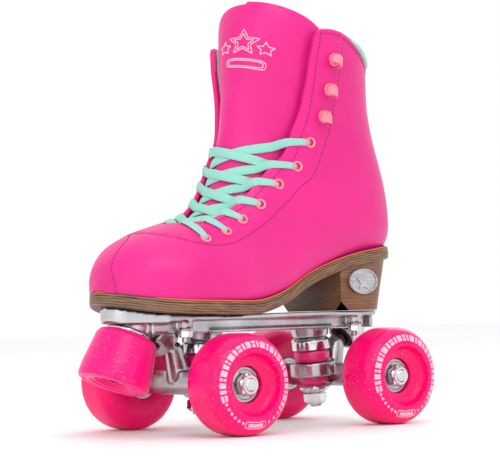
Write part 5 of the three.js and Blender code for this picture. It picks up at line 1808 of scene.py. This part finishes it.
def stop_stem(sizes):
    """Threaded stem with a hexagon socket at its foot, and the lock washer under the plate."""
    foot, up = stop_frame(sizes)
    r = sizes.stem / MM
    profile = [(0, 7.3), (4.2, 7.3), (4.2, 3.3), (r - 0.8, 3.3), (r, 4.1)]
    z = 4.6
    while z < 40.2:
        profile += [(r, z), (r * 0.91, z + 0.62), (r, z + 1.24)]
        z += 1.5
    profile += [(r, 40.7), (r - 0.8, 41.5), (0, 41.5)]
    stem = spun("stem", [(a * MM, b * MM) for a, b in profile], foot, up, sides=48, sharp_degrees=25)
    washer = lathed("washer", [(r + 0.2, 32.9), (14, 32.9), (14, 34.4), (r + 0.2, 34.4)], foot, up, 0.35)
    return joined("stop_stem", [stem, washer])


def cast_node(name, material, voxel, passes):
    """Rounds a frame casting's edges with modifiers, as a mould's fillets and tumbling do."""
    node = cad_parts[name]
    node.data.materials.clear()
    node.data.materials.append(material)
    for polygon in node.data.polygons:
        polygon.material_index = 0
    remesh = node.modifiers.new("cast skin", "REMESH")
    remesh.mode = "VOXEL"
    remesh.voxel_size = voxel
    remesh.use_smooth_shade = True
    soften = node.modifiers.new("fillets", "SMOOTH")
    soften.factor = 0.5
    soften.iterations = passes
    return node


# ---------------------------------------------------------------- operators
class StageOperator(Operator):
    """Camera, soft lights, a pale world and a floor."""

    bl_idname = "skate.make_stage"
    bl_label = "Stage"

    def execute(self, context):
        sizes = context.scene.skate_stage
        scene = context.scene
        scene.view_settings.view_transform = "Standard"
        az, el = sizes.azimuth, sizes.elevation
        back = Vector((math.sin(az) * math.cos(el), math.cos(az) * math.cos(el), math.sin(el)))
        target = Vector((MIDDLE_X + sizes.aim_x, 0, sizes.aim_height))
        right = (-back).cross(Vector((0, 0, 1))).normalized()
        up = right.cross(-back)
        c, s = math.cos(sizes.roll), math.sin(sizes.roll)
        right, up = right * c + up * s, up * c - right * s
        data = bpy.data.cameras.new("camera")
        data.sensor_width, data.lens = 36.0, sizes.lens
        data.shift_x, data.shift_y = sizes.shift_x, sizes.shift_y
        camera = bpy.data.objects.new("camera", data)
        place = Matrix((right, up, back)).transposed().to_4x4()
        place.translation = target + back * sizes.distance
        camera.matrix_world = place
        scene.collection.objects.link(camera)
        scene.camera = camera
        world = bpy.data.worlds.new("studio")
        world.use_nodes = True
        sky = world.node_tree.nodes["Background"]
        sky.inputs["Color"].default_value = (1.0, 1.0, 1.0, 1.0)
        sky.inputs["Strength"].default_value = sizes.world
        scene.world = world
        for name, where, energy, size in (
                ("key", (0.45, 1.1, 1.15), sizes.key, 0.9), ("fill", (1.6, 0.9, 0.55), sizes.key * 0.55,
                                                             1.2),
                ("rim", (-1.2, -0.7, 1.0), sizes.key * 0.6, 0.8), ("top", (0.0, 0.1, 1.9), sizes.key * 0.6,
                                                                   1.4)):
            light = bpy.data.lights.new(name, "AREA")
            light.energy, light.size, light.shape = energy, size, "SQUARE"
            lamp = bpy.data.objects.new(name, light)
            aim = Vector((MIDDLE_X, 0, 0.12)) - Vector(where)
            lamp.matrix_world = Matrix.LocRotScale(Vector(where), aim.to_track_quat("-Z", "Y"), None)
            scene.collection.objects.link(lamp)
        corners = [(-4, -4, 0), (4, -4, 0), (4, 4, 0), (-4, 4, 0)]
        floor = mesh_piece("floor", corners, [(0, 1, 2, 3)])
        floor.data.materials.append(painted_floor("studio_floor"))
        return {"FINISHED"}


class UpperOperator(Operator):
    """Leather upper with its seams."""

    bl_idname = "skate.make_upper"
    bl_label = "Upper"

    def execute(self, context):
        sizes = context.scene.skate_boot
        skin = coated_leather("boot_leather", sizes.leather_colour, 0.86)
        dress(leather_upper(sizes), skin, "skate", "boot_leather", "boot_upper")
        thread = bonded_thread("thread", "A80F62")
        dress(boot_seams(sizes, thread), thread, "skate", "boot_leather")
        return {"FINISHED"}


class PaddingOperator(Operator):
    """Lining with its padded collar, tongue and footbed."""

    bl_idname = "skate.make_padding"
    bl_label = "Lining, tongue and footbed"

    def execute(self, context):
        sizes = context.scene.skate_boot
        collar = dress(padded_lining(sizes), brushed_lining("lining"), "skate", "lining", "collar_lining")
        skin = coated_leather("tongue_leather", sizes.leather_colour, 0.88)
        tongue = dress(padded_tongue(sizes), skin, "skate", "tongue_leather", "tongue")
        dress(tongue_badge(sizes), painted_print("tongue_print", "FFB6CF"), "skate", "tongue_leather")
        bed = dress(footbed(), footbed_cloth("footbed_cloth"), "skate", "footbed", "insole")
        return {"FINISHED"}


class LacingOperator(Operator):
    """Flat laces, rolled eyelets and hooded hooks."""

    bl_idname = "skate.make_lacing"
    bl_label = "Laces, eyelets and hooks"

    def execute(self, context):
        sizes = context.scene.skate_lace
        dress(laces(sizes), woven_lace("woven_lace"), "skate", "lace", "lace")
        enamel = stove_enamel("hook_enamel", "FB8497")
        points, outs = eyelet_points()
        rings = run_tree(marked_points("eyelets", points + outs * sizes.eyelet_roll * 0.5, outs),
                         ring_tree(enamel),
                         {"Radius": sizes.eyelet, "Roll": sizes.eyelet_roll})
        dress(rings, enamel, "skate", "hook_enamel")
        # Painted shade: dark funnels in the eyelets' holes, given a dark maroon copy of the rubber finish.
        dress(eyelet_hollows(sizes), moulded_rubber("eyelet_shade", "3A1024"), "skate", "hook_enamel")
        hooks = [f"lace_hook_{side}_{n}" for side in ("left", "right") for n in (1, 2, 3)]
        dress(all_hooks(enamel), enamel, "skate", "hook_enamel", *hooks)
        return {"FINISHED"}


class SoleOperator(Operator):
    """Laminated sole, welt, heel block and its plaque."""

    bl_idname = "skate.make_sole"
    bl_label = "Sole and heel"

    def execute(self, context):
        sizes = context.scene.skate_sole
        dress(laminated_outsole(sizes), laminated_sole("laminated_sole"), "skate", "laminated_sole",
              "outsole")
        dress(welt_bead(), bonded_thread("welt_thread", "E07A3C"), "skate", "laminated_sole")
        heel = dress(heel_stack(sizes), stacked_heel("heel_side", "8A5A38", "5A3821"), "skate",
                     "laminated_sole", "heel_block")
        breast = MIDDLE_X + sizes.heel_breast
        # Painted shade: the heel's front face gets a near-black copy of the heel finish, standing in for
        # the shadow it lies in under the arch.
        paint_faces(heel, stacked_heel("heel_breast", "2E2320", "1B1514"),
                    lambda face: face.normal.x > 0.9 and abs(face.center.x - breast) < 0.0005)
        # Painted light: the cut corners face down into shade, so they get a light orange copy of the heel
        # finish that stands in for light falling on them.
        paint_faces(heel, stacked_heel("heel_corner", "D98A4A", "B96A30"),
                    lambda face: 0.4 < face.normal.x < 0.8 and face.normal.z < -0.4)
        dress(heel_plaque(), brushed_nickel("badge_metal"), "skate", "badge_metal", "heel_badge")
        return {"FINISHED"}


class ChassisOperator(Operator):
    """Cast plate and hangers, kingpins, cushions, axles and bolts."""

    bl_idname = "skate.make_chassis"
    bl_label = "Plate and trucks"

    def execute(self, context):
        sizes = context.scene.skate_truck
        cast = cast_aluminium("cast_aluminium")
        steel = plated_steel("plated_steel")
        cast_node("plate", cast, sizes.skin, 5)
        cushion = clear_cushion("cushion_urethane")
        rubber = moulded_rubber("cup_rubber")
        dress(mounting_bolts(), steel, "skate", "plated_steel",
              *[f"mounting_bolt_{end}_{side}" for end in ("front", "rear") for side in ("left", "right")])
        for end in ("front", "rear"):
            cast_node("hanger_" + end, cast, sizes.skin * 0.7, 14)
            cast_node("pivot_cup_" + end, rubber, sizes.skin * 0.5, 2)
            truck = end + "_truck"
            dress(truck_washers(sizes, end), steel, "skate", "plated_steel", "upper_washer_" + end,
                  "lower_washer_" + end)
            dress(truck_cushions(sizes, end), cushion, "skate", "cushion_urethane",
                  "upper_cushion_" + end, "lower_cushion_" + end)
            pin, nut = kingpin(sizes, end)
            dress(pin, steel, "skate", "plated_steel", "kingpin_" + end)
            dress(nut, steel, "skate", "plated_steel", "kingpin_nut_" + end)
            axle, nuts = axle_with_nuts(end)
            dress(axle, steel, truck, "plated_steel", "axle_" + end)
            dress(nuts, steel, truck, "plated_steel", f"axle_nut_{end}_left", f"axle_nut_{end}_right")
        return {"FINISHED"}


class WheelOperator(Operator):
    """Four cast wheels with their bearings and print."""

    bl_idname = "skate.make_wheels"
    bl_label = "Wheels"

    def execute(self, context):
        sizes = context.scene.skate_wheel
        urethane = glitter_urethane("wheel_urethane", "FF0074", "F0006A")
        steel = plated_steel("bearing_steel", "B9BABF", 0.24)
        ink = painted_print("wheel_ink", "FFB9D4")
        for place in WHEELS:
            body = place + "_wheel"
            dress(wheel_body(sizes, place), urethane, body, "wheel_urethane", "wheel_" + place)
            dress(wheel_print(sizes, place, ink), ink, body, "wheel_urethane")
            dress(bearings(sizes, place), steel, body, "bearing_steel", "outer_bearing_" + place,
                  "inner_bearing_" + place)
        return {"FINISHED"}


class StopOperator(Operator):
    """Moulded toe stop on its threaded stem."""

    bl_idname = "skate.make_stop"
    bl_label = "Toe stop"

    def execute(self, context):
        sizes = context.scene.skate_stop
        dress(stop_pad(sizes), glitter_urethane("stop_urethane", "FF1480", "F2067A", 0.45), "toe_stop",
              "stop_urethane",
              "toe_stop_pad")
        dress(stop_stem(sizes), plated_steel("stem_steel"), "toe_stop", "plated_steel", "toe_stop_stem",
              "toe_stop_washer")
        return {"FINISHED"}


class SkatePanel(Panel):
    """Each group's sizes, with the operator that makes it."""

    bl_idname = "SKATE_PT_make"
    bl_label = "Quad roller skate"
    bl_space_type = "VIEW_3D"
    bl_region_type = "UI"
    bl_category = "Skate"

    def draw(self, context):
        for label, group, operator in PANEL_ROWS:
            box = self.layout.box()
            sizes = getattr(context.scene, group)
            for name in sizes.bl_rna.properties.keys():
                if name not in ("rna_type", "name"):
                    box.prop(sizes, name)
            box.operator(operator.bl_idname, text=label)


GROUPS = {
    "skate_stage": StageSizes, "skate_boot": BootSizes, "skate_lace": LaceSizes, "skate_sole": SoleSizes,
    "skate_truck": TruckSizes, "skate_wheel": WheelSizes, "skate_stop": StopSizes,
}
PANEL_ROWS = (
    ("Stage", "skate_stage", StageOperator), ("Upper", "skate_boot", UpperOperator),
    ("Lining, tongue and footbed", "skate_boot", PaddingOperator), ("Lacing", "skate_lace", LacingOperator),
    ("Sole and heel", "skate_sole", SoleOperator), ("Plate and trucks", "skate_truck", ChassisOperator),
    ("Wheels", "skate_wheel", WheelOperator), ("Toe stop", "skate_stop", StopOperator),
)


def register():
    for group in GROUPS.values():
        bpy.utils.register_class(group)
    for name, group in GROUPS.items():
        setattr(bpy.types.Scene, name, PointerProperty(type=group))
    for label, group, operator in PANEL_ROWS:
        bpy.utils.register_class(operator)
    bpy.utils.register_class(SkatePanel)


def unregister():
    bpy.utils.unregister_class(SkatePanel)
    for label, group, operator in reversed(PANEL_ROWS):
        bpy.utils.unregister_class(operator)
    for name, group in GROUPS.items():
        delattr(bpy.types.Scene, name)
        bpy.utils.unregister_class(group)


def main():
    register()
    for label, group, operator in PANEL_ROWS:
        family, name = operator.bl_idname.split(".")
        result = getattr(getattr(bpy.ops, family), name)()
        if result != {"FINISHED"}:
            raise RuntimeError("didn't finish: " + operator.bl_idname)
    bpy.context.view_layer.update()


if __name__ == "__main__":
    main()
